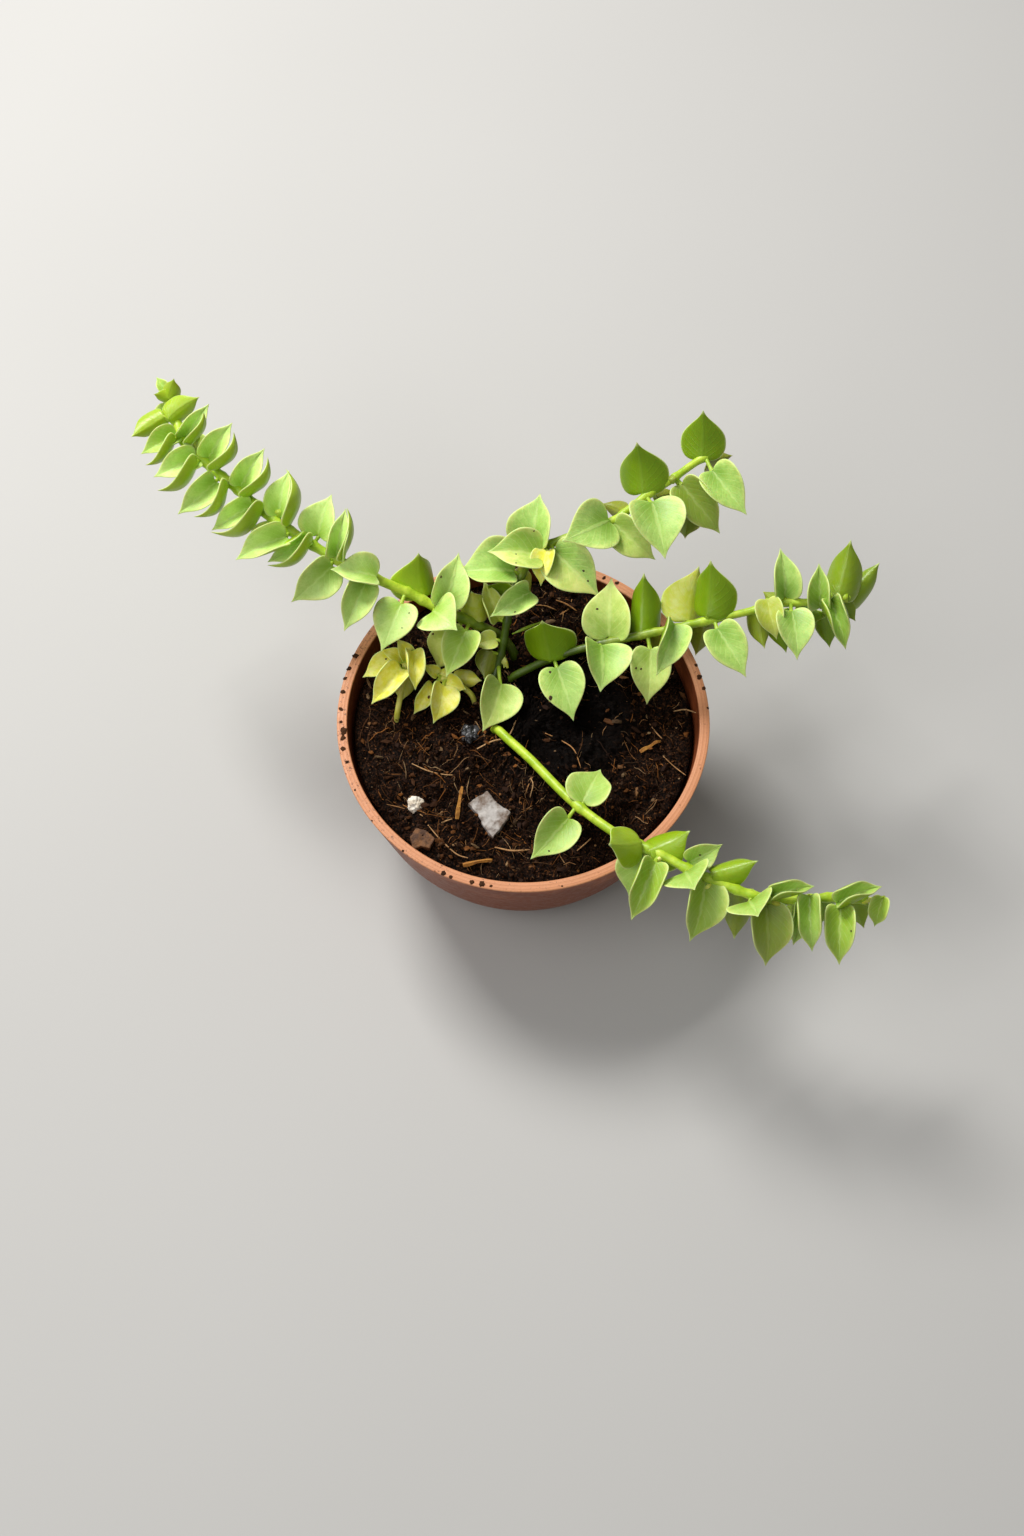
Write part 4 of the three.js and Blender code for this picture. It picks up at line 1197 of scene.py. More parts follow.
@dataclass(frozen=True)
class SoilFinish:
    """Damp coir and peat: near black in its pits, which is painted shade, red-brown and grey on its crumbs,
    and near black round a place under the leaves, which is a painted shadow.
    """

    pit_shade: Colour = (0.0015, 0.0008, 0.0005)
    crumb: Colour = (0.04, 0.0145, 0.0055)
    dry: Colour = (0.2, 0.08, 0.03)
    shadow_centre: tuple[float, float, float] = (0.014, 0.004, 0.058)
    shadow_reach: float = 0.036

    def material(self) -> bpy.types.Material:
        """Builds the material.

        Returns:
            The finished material.
        """
        n = Nodes("potting_mix", Specular_IOR_Level=0.08)
        broad = n.noise(110, 4, 0.6)
        grit = n.noise(1300, 4, 0.7)
        grains = n.cells(800)
        # Painted shade: near black where the grit pattern is low, in the pits of the bump.
        colour = n.mix(n.rise(grit, 0.46, 0.64), self.pit_shade, self.crumb)
        dry = n.math("MULTIPLY", n.rise(grains, 0.32, 0.12), n.rise(broad, 0.42, 0.62, 0.15, 1.0))
        colour = n.mix(n.math("MULTIPLY", dry, 0.6), colour, self.dry)
        # Painted shadow: the mix goes near black round a place under the leaves.
        far = n.tree.nodes.new("ShaderNodeVectorMath")
        far.operation = "DISTANCE"
        n.put(far.inputs[0], n.place)
        far.inputs[1].default_value = self.shadow_centre
        cast_shadow = n.rise(far.outputs["Value"], self.shadow_reach, 0.5 * self.shadow_reach, 0.0, 0.9)
        colour = n.mix(cast_shadow, colour, self.pit_shade)
        n.bump(n.math("ADD", grit, n.math("MULTIPLY", grains, -0.7)), 0.0006)
        return n.finish(colour, n.rise(broad, 0.35, 0.65, 0.9, 0.55))


@dataclass(frozen=True)
class LitterFinish:
    """Fibres and crumbs whose own shade is kept in an attribute: brown, amber or pale straw."""

    brown: Colour = (0.02, 0.0075, 0.0035)
    amber: Colour = (0.42, 0.15, 0.03)
    straw: Colour = (0.62, 0.4, 0.2)

    def material(self) -> bpy.types.Material:
        """Builds the material.

        Returns:
            The finished material.
        """
        n = Nodes("coir_litter", Roughness=0.75, Specular_IOR_Level=0.15)
        shade, pale, _, _ = n.attribute("shade")
        grit = n.noise(1800, 3, 0.6)
        colour = n.mix(shade, self.brown, self.amber)
        colour = n.mix(pale, colour, self.straw)
        colour = n.mix(n.rise(grit, 0.4, 0.7, 0.0, 0.45), colour, self.brown)
        n.bump(grit, 0.0002)
        return n.finish(colour)


class VinePiece:
    """One leafy stem: a bent stem with swollen joints, and its fleshy leaves on their stalks."""

    root = 11.0
    knot = 1.3
    girth = 1.08
    taper = 0.06
    swelling = 0.24
    bud_rings = 12

    def __init__(self, vine: Vine, materials: list[bpy.types.Material]) -> None:
        """Sets the vine out.

        Args:
            vine: The noted vine.
            materials: The finishes of the leaves, the stem and the specks.
        """
        self.vine = vine
        self.materials = materials
        points = [VIEW.at_height((x, y), height) for x, y, height in vine.route]
        self.path = Path([points[0] - Vector((0, 0, self.root)), *points])
        poser = LeafPoser(vine, self.path)
        self.poses = [poser.pose(leaf) for leaf in vine.leaves]

    def _add_stem(self, plant: Batch) -> None:
        """Adds the stem, a little swollen where each leaf stands and thinner towards its end.

        Args:
            plant: The mesh that it joins.
        """
        rings = max(24, int(self.path.length))
        near = []
        for pose in self.poses:
            marks = [i / STEM_MARKS for i in range(STEM_MARKS + 1)]
            near.append(min(marks, key=lambda share: (self.path.at(share) - pose.foot).length))

        def radius(share: float) -> float:
            """Gives the stem's radius at a share of its length."""
            gaps = [abs(share - spot) * self.path.length for spot in near]
            swell = self.swelling * math.exp(-((min(gaps) / self.knot) ** 2))
            return self.vine.radius * (self.girth - self.taper * share + swell)

        part = plant.part()
        bent_tube(part, self.path, radius, rings)
        blade = part.verts.layers.float_color["blade"]
        foot = self.path.at(0) * MM
        for vert in part.verts:
            share = (vert.co - foot).length / (self.path.length * MM)
            vert[blade] = (0.0, clamp(share), 0.5, 1.0)
        plant.add(part, 1)

    def _add_specks(self, plant: Batch) -> None:
        """Adds the noted specks, flat on the leaf that each is seen on.

        Args:
            plant: The mesh that they join.
        """
        tree = BVHTree.FromBMesh(plant.bm)
        for pixel, size, owner in SPECKS:
            if owner != self.vine.name:
                continue
            spot, normal, _, _ = tree.ray_cast(VIEW.eye * MM, VIEW.sight(pixel).normalized())
            if spot is None:
                LOG.info("no leaf under the speck at %s", pixel)
                continue
            part = plant.part()
            lie = normal.to_track_quat("Z", "Y").to_matrix().to_4x4()
            flat = Matrix.Diagonal((size * MM, 0.8 * size * MM, SPECK_HEIGHT * MM, 1.0))
            bmesh.ops.create_icosphere(
                part, subdivisions=2, radius=1.0, matrix=Matrix.Translation(spot) @ lie @ flat
            )
            for vert in part.verts:
                vert.co += (vert.co - spot) * 0.35 * noise.noise(vert.co * 1500)
            plant.add(part, 2)

    @staticmethod
    def _bud_radius(size: float) -> Callable[[float], float]:
        """Gives a bud's radius at a share of its length: thick in its middle, blunt at its ends."""
        return lambda share: size * (0.3 + math.sin(math.pi * clamp(share, 0.06, 0.94)))

    def _add_buds(self, plant: Batch) -> None:
        """Adds the noted buds, scars and stubs, each drawn out along its two pixels.

        Args:
            plant: The mesh that they join.
        """
        for ends, size, owner, tint in BUDS:
            if owner != self.vine.name:
                continue
            marks = [self.path.at(i / STEM_MARKS) for i in range(STEM_MARKS + 1)]
            near = min(marks, key=lambda spot: math.dist(VIEW.seen(spot)[:2], ends[0]))
            depth = VIEW.seen(near)[2] - 0.8 * self.vine.radius
            start, end = (VIEW.at_depth(pixel, depth) for pixel in ends)
            line = Path([start, start.lerp(end, 0.5) + Vector((0, 0, 0.15)), end], 8)
            part = plant.part()
            bent_tube(part, line, self._bud_radius(size), self.bud_rings)
            plant.mark(part, "blade", (0.0, 0.0, 0.0, 0.0))
            plant.mark(part, "tone", tint.value)
            plant.add(part)

    def build(self) -> bpy.types.Object:
        """Builds the piece.

        Returns:
            The object, which replaces the vine's CAD node.
        """
        plant = Batch("blade", "tone")
        self._add_stem(plant)
        self._add_buds(plant)
        maker = LeafMaker()
        for index, (leaf, pose) in enumerate(zip(self.vine.leaves, self.poses)):
            maker.add(plant, pose, leaf, index * 1.37 + len(self.vine.name))
        self._add_specks(plant)
        piece = piece_from(plant.bm, f"{self.vine.name}_growth", self.materials)
        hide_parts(self.vine.name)
        return piece


def turned(bm: bmesh.types.BMesh, profile: list[tuple[float, float]], steps: int) -> None:
    """Spins a profile of radii and heights, in millimetres, into a closed body.

    Args:
        bm: The empty mesh.
        profile: The radii and heights.
        steps: How many steps a full turn has.
    """
    verts = [bm.verts.new((radius * MM, 0.0, height * MM)) for radius, height in profile]
    edges = [bm.edges.new(pair) for pair in zip(verts, verts[1:])]
    bmesh.ops.spin(
        bm, geom=verts + edges, cent=(0, 0, 0), axis=(0, 0, 1), angle=math.tau, steps=steps, use_merge=True
    )
    bmesh.ops.remove_doubles(bm, verts=bm.verts[:], dist=1e-6)
    bmesh.ops.recalc_face_normals(bm, faces=bm.faces[:])
    for face in bm.faces:
        face.smooth = True


def rounded(corners: list[tuple[float, float, float]], cuts: int = 5) -> list[tuple[float, float]]:
    """Rounds the corners of a profile.

    Args:
        corners: Radii and heights, each with the length that its rounding takes off either side.
        cuts: How many points stand on each rounding.

    Returns:
        The profile's points.
    """
    points = []
    for i, (x, y, size) in enumerate(corners):
        if size == 0 or i in (0, len(corners) - 1):
            points.append((x, y))
            continue
        here = Vector((x, y))
        before = Vector(corners[i - 1][:2])
        after = Vector(corners[i + 1][:2])
        start = here + (before - here).normalized() * size
        end = here + (after - here).normalized() * size
        for step in range(cuts + 1):
            t = step / cuts
            spot = start.lerp(here, t).lerp(here.lerp(end, t), t)
            points.append((spot.x, spot.y))
    return points


@dataclass
class PotPiece:
    """The bowl pot: a turned shell with a flat lip and drain holes."""

    rim_radius: float = 65.0
    height: float = 65.0
    lip_width: float = 3.7
    lip_height: float = 5.0
    lip_taper: float = 2.0
    wall: float = 2.4
    floor: float = 3.0
    steps: int = 160
    outer: tuple[Pixel, ...] = ((34, 0), (41, 2.6), (46.5, 7.4), (51, 12.6), (54, 18), (57, 27), (65, 65))
    drain_holes: int = 6
    drain_radius: float = 3.5
    drain_ring: float = 21.0
    drain_sides: int = 32
    punch_depth: float = 20.0

    def outer_radius(self, height: float) -> float:
        """Gives the outer radius of the wall at a height.

        Args:
            height: The height over the table.

        Returns:
            The radius.
        """
        for (r0, z0), (r1, z1) in zip(self.outer, self.outer[1:]):
            if height <= z1:
                return r0 + (r1 - r0) * (height - z0) / (z1 - z0)
        return self.rim_radius

    def _profile(self) -> list[tuple[float, float]]:
        """Gives the turned profile, from the axis under the floor round to the axis over it.

        Returns:
            Its radii and heights.
        """
        top, under_lip = self.height, self.height - self.lip_height
        step = under_lip - self.lip_taper
        inner = [(r - self.wall, z + self.wall, 4.0) for r, z in self.outer[1:-1]]
        inner = [corner for corner in inner if corner[1] > self.floor + self.wall]
        corners = [
            (0.0, 0.0, 0.0),
            (self.outer[0][0], 0.0, 1.2),
            *((r, z, 2.2) for r, z in self.outer[1:-1]),
            (self.rim_radius, top, 0.7),
            (self.rim_radius - self.lip_width, top, 0.6),
            (self.rim_radius - self.lip_width, under_lip, 0.6),
            (self.outer_radius(step) - self.wall, step, 0.8),
            *reversed(inner),
            (self.outer[1][0] - self.wall, self.floor, 1.5),
            (0.0, self.floor, 0.0),
        ]
        for i, (x, y, size) in enumerate(corners[1:-1], start=1):
            room = min(math.dist((x, y), corners[i - 1][:2]), math.dist((x, y), corners[i + 1][:2]))
            corners[i] = (x, y, min(size, 0.45 * room))
        return rounded(corners)

    def build(self, material: bpy.types.Material) -> bpy.types.Object:
        """Builds the pot.

        Args:
            material: Its finish.

        Returns:
            The object, which replaces the pot's CAD node.
        """
        bm = bmesh.new()
        turned(bm, self._profile(), self.steps)
        pot = piece_from(bm, "turned_pot", [material])
        punch = bmesh.new()
        for i in range(self.drain_holes):
            turn = (i + 0.5) / self.drain_holes * math.tau
            place = Vector((math.cos(turn), math.sin(turn), 0.0)) * self.drain_ring * MM
            bmesh.ops.create_cone(
                punch, cap_ends=True, segments=self.drain_sides, matrix=Matrix.Translation(place),
                radius1=self.drain_radius * MM, radius2=self.drain_radius * MM, depth=self.punch_depth * MM,
            )
        mesh = bpy.data.meshes.new("punch")
        punch.to_mesh(mesh)
        punch.free()
        tool = bpy.data.objects.new("punch", mesh)
        bpy.context.scene.collection.objects.link(tool)
        cut = pot.modifiers.new("drain", "BOOLEAN")
        cut.object = tool
        cut.operation = "DIFFERENCE"
        bpy.context.view_layer.update()
        whole = pot.evaluated_get(bpy.context.evaluated_depsgraph_get())
        done = bpy.data.meshes.new_from_object(whole)
        pot.modifiers.clear()
        pot.data = done
        bpy.data.objects.remove(tool)
        for polygon in pot.data.polygons:
            polygon.use_smooth = True
        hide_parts("pot")
        return pot


@dataclass
class Ground:
    """The shape of the potting mix's surface, in millimetres."""

    level: float = 58.0
    relief: float = 1.2
    calm: float = 8.0
    edge: float = 56.0
    reach: float = 58.0
    clod_height: float = 1.5
    lump_height: float = 3.0
    chunk_height: float = 2.0
    grit_height: float = 0.8
    crumbs_sunk: float = 1.3

    def height(self, x: float, y: float) -> float:
        """Gives the height of the low lumps at a place.

        Args:
            x: To the right.
            y: To the back.

        Returns:
            The height over the table.
        """
        lumps = (
            math.sin(x / 4.9 + 0.6) * math.cos(y / 4.1 - 0.4)
            + 0.7 * math.sin((x + y) / 2.7 + 1.9)
            + 0.5 * math.cos((x - 1.7 * y) / 6.3)
        )
        even = 1 - smooth(math.hypot(x, y), self.edge - self.calm, self.edge)
        return self.level + self.relief * lumps * even

    def crumbs(self, x: float, y: float) -> float:
        """Gives the height of the clods and crumbs over the low lumps.

        Args:
            x: To the right.
            y: To the back.

        Returns:
            The height over the lumps.
        """
        spot = Vector((x, y, 0.0))
        clods = noise.fractal(spot * 0.16 + Vector((9, 2, 5)), 0.9, 2.1, 3)
        lumps = abs(noise.noise(spot * 0.36 + Vector((1, 8, 3))))
        chunks = abs(noise.noise(spot * 0.8 + Vector((4, 2, 6))))
        grit = noise.noise(spot * 1.7 + Vector((3, 7, 1)))
        coarse = self.clod_height * clods + self.lump_height * lumps
        return coarse + self.chunk_height * chunks + self.grit_height * grit - self.crumbs_sunk

    def surface(self, x: float, y: float) -> float:
        """Gives the height of the finished surface at a place."""
        return self.height(x, y) + self.crumbs(x, y)


@dataclass
class SoilPiece:
    """The potting mix: a turned plug with a crumbled surface."""

    ground: Ground = field(default_factory=Ground)
    pot: PotPiece = field(default_factory=PotPiece)
    gap: float = 0.3
    wall_edge: float = 59.3
    shoulder: float = 1.0
    ring_step: float = 0.7
    steps: int = 440

    def build(self, material: bpy.types.Material) -> bpy.types.Object:
        """Builds the plug.

        Args:
            material: Its finish.

        Returns:
            The object, which replaces the soil's CAD node.
        """
        clear = self.pot.wall + self.gap
        wall = [(r - clear, z + clear) for r, z in self.pot.outer[2:-1]]
        bottom = self.pot.floor + self.gap
        rings = int(self.ground.reach / self.ring_step)
        surface = [(self.ground.reach * (1 - i / rings), self.ground.level) for i in range(rings + 1)]
        start = [(0.0, bottom), (self.pot.outer[1][0] - self.pot.wall - 2.0, bottom)]
        rim = (self.wall_edge, self.ground.level - self.shoulder)
        bm = bmesh.new()
        turned(bm, [*start, *wall, rim, *surface], self.steps)
        for vert in bm.verts:
            x, y, z = vert.co / MM
            if z > self.ground.level - self.shoulder / 2:
                vert.co.z = self.ground.surface(x, y) * MM
        soil = piece_from(bm, "crumbled_soil", [material])
        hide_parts("soil")
        return soil


class Litter:
    """Crumbs, fibres and grains that lie on the potting mix."""

    crumb_count = 3200
    fibre_count = 850
    seed = 11
    bare_centre = (14.0, 4.0)
    bare_reach = 24.0
    bare_share = 0.8
    crumb_size = (0.2, 1.0)
    fibre_length = (2.0, 11.0)
    fibre_size = (0.06, 0.16)
    fibre_stand = 1.6
    fibre_points = 6
    # Threads and straws that stand out, as pixels with their radius in millimetres and how pale they are.
    threads = (
        (((428, 825), (436, 834), (447, 846), (458, 854), (468, 858)), 0.28, 0.6),
        (((545, 731), (562, 738), (574, 750), (581, 767)), 0.2, 0.35),
        (((516, 720), (508, 735), (492, 743), (477, 750)), 0.34, 0.75),
        (((412, 765), (428, 772), (444, 774), (453, 775)), 0.25, 0.7),
        (((534, 607), (545, 605), (557, 607)), 0.3, 0.4),
        (((556, 600), (566, 604), (577, 611)), 0.32, 0.3),
        (((560, 612), (569, 606), (572, 598)), 0.3, 0.35),
        (((650, 722), (656, 730), (662, 738)), 0.25, 0.5),
        (((674, 710), (685, 709), (698, 712)), 0.28, 0.8),
        (((663, 757), (675, 766), (686, 775)), 0.22, 0.5),
        (((495, 846), (512, 852), (530, 850)), 0.34, 0.55),
        (((420, 815), (436, 820), (452, 817)), 0.3, 0.7),
        (((440, 868), (462, 876), (480, 879)), 0.3, 0.6),
        (((530, 797), (533, 787), (529, 777)), 0.22, 0.8),
        (((577, 850), (590, 838), (603, 822)), 0.26, 0.6),
    )

    # Specks of potting mix on the pot's lip, as pixels with their size in millimetres.
    lip_specks = (
        ((350, 654), 1.0), ((347, 668), 0.8), ((344, 678), 0.6), ((343, 692), 0.9), ((341, 709), 0.7),
        ((341, 722), 0.6), ((344, 731), 1.2), ((343, 738), 0.9), ((343, 749), 0.9), ((347, 762), 0.6),
        ((355, 790), 0.4), ((370, 822), 0.4), ((402, 852), 0.5), ((443, 874), 1.0), ((451, 877), 0.7),
        ((472, 882), 0.9), ((482, 884), 1.1), ((491, 886), 0.6), ((562, 886), 0.4), ((700, 664), 0.7),
        ((704, 676), 1.0), ((706, 688), 0.7), ((709, 708), 0.5), ((604, 578), 0.7), ((617, 583), 0.9),
    )

    def __init__(self, ground: Ground) -> None:
        """Keeps the surface that the litter lies on.

        Args:
            ground: The potting mix's surface.
        """
        self.ground = ground
        self.draw = random.Random(self.seed)

    def _spot(self, edge: float) -> tuple[float, float]:
        """Draws a place on the surface, spread evenly out to an edge.

        Args:
            edge: The edge's radius.

        Returns:
            The place.
        """
        radius = edge * math.sqrt(self.draw.random())
        turn = self.draw.uniform(0.0, math.tau)
        return radius * math.cos(turn), radius * math.sin(turn)

    def _sheltered(self, x: float, y: float) -> bool:
        """Tells whether a place lies in the bare part under the leaves, where little litter is laid so that
        the painted shadow there stays dark.
        """
        near = math.dist((x, y), self.bare_centre) < self.bare_reach
        return near and self.draw.random() < self.bare_share

    def crumbs(self, material: bpy.types.Material) -> bpy.types.Object:
        """Builds the loose crumbs.

        Args:
            material: Their finish.

        Returns:
            The object.
        """
        batch = Batch("shade")
        for _ in range(self.crumb_count):
            x, y = self._spot(self.ground.reach)
            if self._sheltered(x, y):
                continue
            size = self.crumb_size[0] + self.crumb_size[1] * self.draw.random() ** 4
            tint = (self.draw.random() ** 4 * 0.5, self.draw.random() ** 14 * 0.5, 0.0, 1.0)
            turn = Matrix.Rotation(self.draw.uniform(0, math.tau), 4, (0.3, 0.5, 0.8))
            stretch = Matrix.Diagonal((self.draw.uniform(0.8, 2.4), 1.0, self.draw.uniform(0.35, 0.8), 1.0))
            place = Matrix.Translation(Vector((x, y, self.ground.surface(x, y) + 0.25 * size)) * MM)
            part = batch.part()
            bmesh.ops.create_icosphere(part, subdivisions=1, radius=size * MM, matrix=place @ turn @ stretch)
            for vert in part.verts:
                vert.co += (vert.co - place.translation) * self.draw.uniform(-0.45, 0.3)
            batch.mark(part, "shade", tint)
            batch.add(part, smooth=False)
        return piece_from(batch.bm, "soil_crumbs", [material])

    def lip_dirt(self, material: bpy.types.Material, pot: PotPiece) -> bpy.types.Object:
        """Builds the specks on the pot's lip.

        Args:
            material: Their finish.
            pot: The pot that they lie on.

        Returns:
            The object.
        """
        batch = Batch("shade")
        middle = pot.rim_radius - pot.lip_width / 2
        for pixel, size in self.lip_specks:
            seen = VIEW.at_height(pixel, pot.height)
            flat = Vector((seen.x, seen.y, 0.0))
            room = pot.lip_width / 2 - size
            flat *= (middle + clamp(flat.length - middle, -room, room)) / flat.length
            place = Matrix.Translation((flat + Vector((0, 0, pot.height))) * MM)
            shape = Matrix.Diagonal((self.draw.uniform(0.7, 1.3), 1.0, 0.3, 1.0))
            turn = Matrix.Rotation(self.draw.uniform(0, math.tau), 4, "Z")
            part = batch.part()
            bmesh.ops.create_icosphere(part, subdivisions=2, radius=size * MM, matrix=place @ turn @ shape)
            for vert in part.verts:
                vert.co += (vert.co - place.translation) * self.draw.uniform(-0.3, 0.2)
            batch.mark(part, "shade", (0.12 * self.draw.random(), 0.0, 0.0, 1.0))
            batch.add(part, smooth=False)
        return piece_from(batch.bm, "lip_specks", [material])

    def _fibre(self, batch: Batch, path: Path, thickness: float, tint: tuple) -> None:
        """Adds a fibre that thins out at both ends.

        Args:
            batch: The mesh that it joins.
            path: Its line.
            thickness: Its radius in the middle.
            tint: Its shade and how pale it is.
        """
        rings = 5 + int(path.length / 1.4)

        def radius(share: float) -> float:
            """Gives the fibre's radius at a share of its length."""
            return thickness * (0.35 + 0.65 * math.sin(math.pi * clamp(share, 0.04, 0.96)) ** 0.4)

        part = batch.part()
        bent_tube(part, path, radius, rings)
        batch.mark(part, "shade", tint)
        batch.add(part)

    def fibres(self, material: bpy.types.Material) -> bpy.types.Object:
        """Builds the fibres, the noted threads first.

        Args:
            material: Their finish.

        Returns:
            The object.
        """
        batch = Batch("shade")
        for pixels, thickness, pale in self.threads:
            points = []
            for pixel in pixels:
                point = VIEW.at_height(pixel, self.ground.level + 1.0)
                point.z = self.ground.surface(point.x, point.y) + thickness + 0.3
                points.append(point)
            self._fibre(batch, Path(points, 8), thickness, (1.0, pale, 0.0, 1.0))
        for _ in range(self.fibre_count):
            x, y = self._spot(self.ground.reach - 2.0)
            if self._sheltered(x, y):
                continue
            heading = self.draw.uniform(0.0, math.tau)
            bend = self.draw.gauss(0.0, 0.13)
            length = self.fibre_length[0] + self.fibre_length[1] * self.draw.random() ** 2
            thickness = self.fibre_size[0] + self.fibre_size[1] * self.draw.random() ** 3
            stand = self.draw.random() ** 3 * self.fibre_stand
            points = []
            for step in range(self.fibre_points):
                if math.hypot(x, y) > self.ground.reach:
                    break
                lift = thickness * 0.6 + 0.15 + stand * math.sin(step * 0.8)
                points.append(Vector((x, y, self.ground.surface(x, y) + lift)))
                heading += bend + self.draw.gauss(0.0, 0.12)
                x += length / (self.fibre_points - 1) * math.cos(heading)
                y += length / (self.fibre_points - 1) * math.sin(heading)
            if len(points) > 2:
                tint = (self.draw.random() ** 1.8, 0.7 * self.draw.random() ** 4, 0.0, 1.0)
                self._fibre(batch, Path(points, 5), thickness, tint)
        return piece_from(batch.bm, "coir_fibres", [material])


@dataclass
class LooseStones:
    """The pieces that stand out on the surface: a broken chip, bark, a pebble, a perlite grain, sticks."""

    ground: Ground
    stick_steps: int = 4
    stick_lift: float = 0.8
    worn_edge: float = 0.35
    longest_edge: float = 0.8
    splits: int = 3
    roughness: float = 0.4

    def _slab(
        self, outline: tuple[Pixel, ...], thickness: float, sunk: float, seed: float
    ) -> bmesh.types.BMesh:
        """Builds a flat broken piece from the pixels of its outline.

        Args:
            outline: The corners as pixels.
            thickness: How thick it is, in millimetres.
            sunk: How deep it lies in the mix.
            seed: A number that sets its roughness apart.

        Returns:
            The bmesh in metres.
        """
        corners = [VIEW.at_height(pixel, self.ground.level) for pixel in outline]
        middle = sum(corners, Vector()) / len(corners)
        low = self.ground.height(middle.x, middle.y) - sunk
        bm = bmesh.new()
        base = bm.faces.new([bm.verts.new((c.x * MM, c.y * MM, low * MM)) for c in corners])
        top = bmesh.ops.extrude_face_region(bm, geom=[base])
        raised = [item for item in top["geom"] if isinstance(item, bmesh.types.BMVert)]
        bmesh.ops.translate(bm, verts=raised, vec=(0, 0, thickness * MM))
        bmesh.ops.recalc_face_normals(bm, faces=bm.faces[:])
        bmesh.ops.bevel(
            bm, geom=bm.edges[:], offset=self.worn_edge * MM, segments=2, profile=0.5,
            affect="EDGES", material=-1,
        )
        bmesh.ops.triangulate(bm, faces=bm.faces[:])
        for _ in range(self.splits):
            longest = [edge for edge in bm.edges if edge.calc_length() > self.longest_edge * MM]
            bmesh.ops.subdivide_edges(bm, edges=longest, cuts=1)
            bmesh.ops.triangulate(bm, faces=bm.faces[:])
        for vert in bm.verts:
            rough = noise.fractal(vert.co * 420 + Vector((seed, 0, 0)), 0.9, 2.0, 3)
            vert.co += vert.normal * rough * self.roughness * MM
        return bm

    def _grain(
        self, pixel: Pixel, radius: float, flat: float, seed: float, rough: float
    ) -> bmesh.types.BMesh:
        """Builds a rounded grain at a pixel.

        Args:
            pixel: Where it is seen.
            radius: Its radius.
            flat: How high it is for its width.
            seed: A number that sets its roughness apart.
            rough: How lumpy it is.

        Returns:
            The mesh in metres.
        """
        spot = VIEW.at_height(pixel, self.ground.level)
        centre = Vector((spot.x, spot.y, self.ground.height(spot.x, spot.y) + 0.3 * radius)) * MM
        bm = bmesh.new()
        bmesh.ops.create_icosphere(bm, subdivisions=4, radius=radius * MM)
        for vert in bm.verts:
            lump = noise.fractal(vert.co * 500 + Vector((seed, 0, 0)), 0.9, 2.0, 3)
            vert.co *= 1 + rough * lump
            vert.co.z *= flat
            vert.co += centre
        return bm

    def build(self, finishes: dict[str, bpy.types.Material]) -> list[bpy.types.Object]:
        """Builds the pieces.

        Args:
            finishes: Materials by the record's slots.

        Returns:
            The objects, each of which replaces its CAD node.
        """
        chip = (
            (468, 806), (487, 793), (498, 806), (511, 815), (505, 825), (493, 840), (483, 828), (478, 817),
        )
        bark = ((410, 838), (417, 829), (426, 832), (435, 840), (430, 850), (421, 848), (413, 852))
        made = [
            ("grey_chip", self._slab(chip, 2.6, 0.8, 3.0), "chip"),
            ("bark_piece", self._slab(bark, 3.0, 1.2, 8.0), "bark"),
            ("dark_pebble", self._grain((470, 735), 3.1, 0.7, 1.0, 0.42), "pebble"),
            ("perlite_grain", self._grain((415, 805), 2.5, 0.7, 6.0, 0.5), "perlite"),
        ]
        sticks = (((457, 819), (462, 787)), ((463, 866), (492, 860)), ((640, 752), (660, 742)))
        for number, ends in enumerate(sticks, start=1):
            start, end = (VIEW.at_height(pixel, self.ground.level) for pixel in ends)
            points = []
            for step in range(self.stick_steps + 1):
                point = start.lerp(end, step / self.stick_steps)
                low = self.ground.height(point.x, point.y) + self.stick_lift
                point.z = max(low, self.ground.surface(point.x, point.y) + self.stick_lift / 2)
                points.append(point)
            path = Path(points, 12)
            bm = bmesh.new()
            bent_tube(bm, path, lambda share: 0.72 + 0.12 * math.sin(9 * share) - 0.3 * share**3, 24)
            bmesh.ops.recalc_face_normals(bm, faces=bm.faces[:])
            made.append((f"amber_stick_{number}", bm, "stick"))
        pieces = []
        for node, bm, slot in made:
            piece = piece_from(bm, f"{node}_fine", [finishes[slot]])
            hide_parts(node)
            pieces.append(piece)
        return pieces


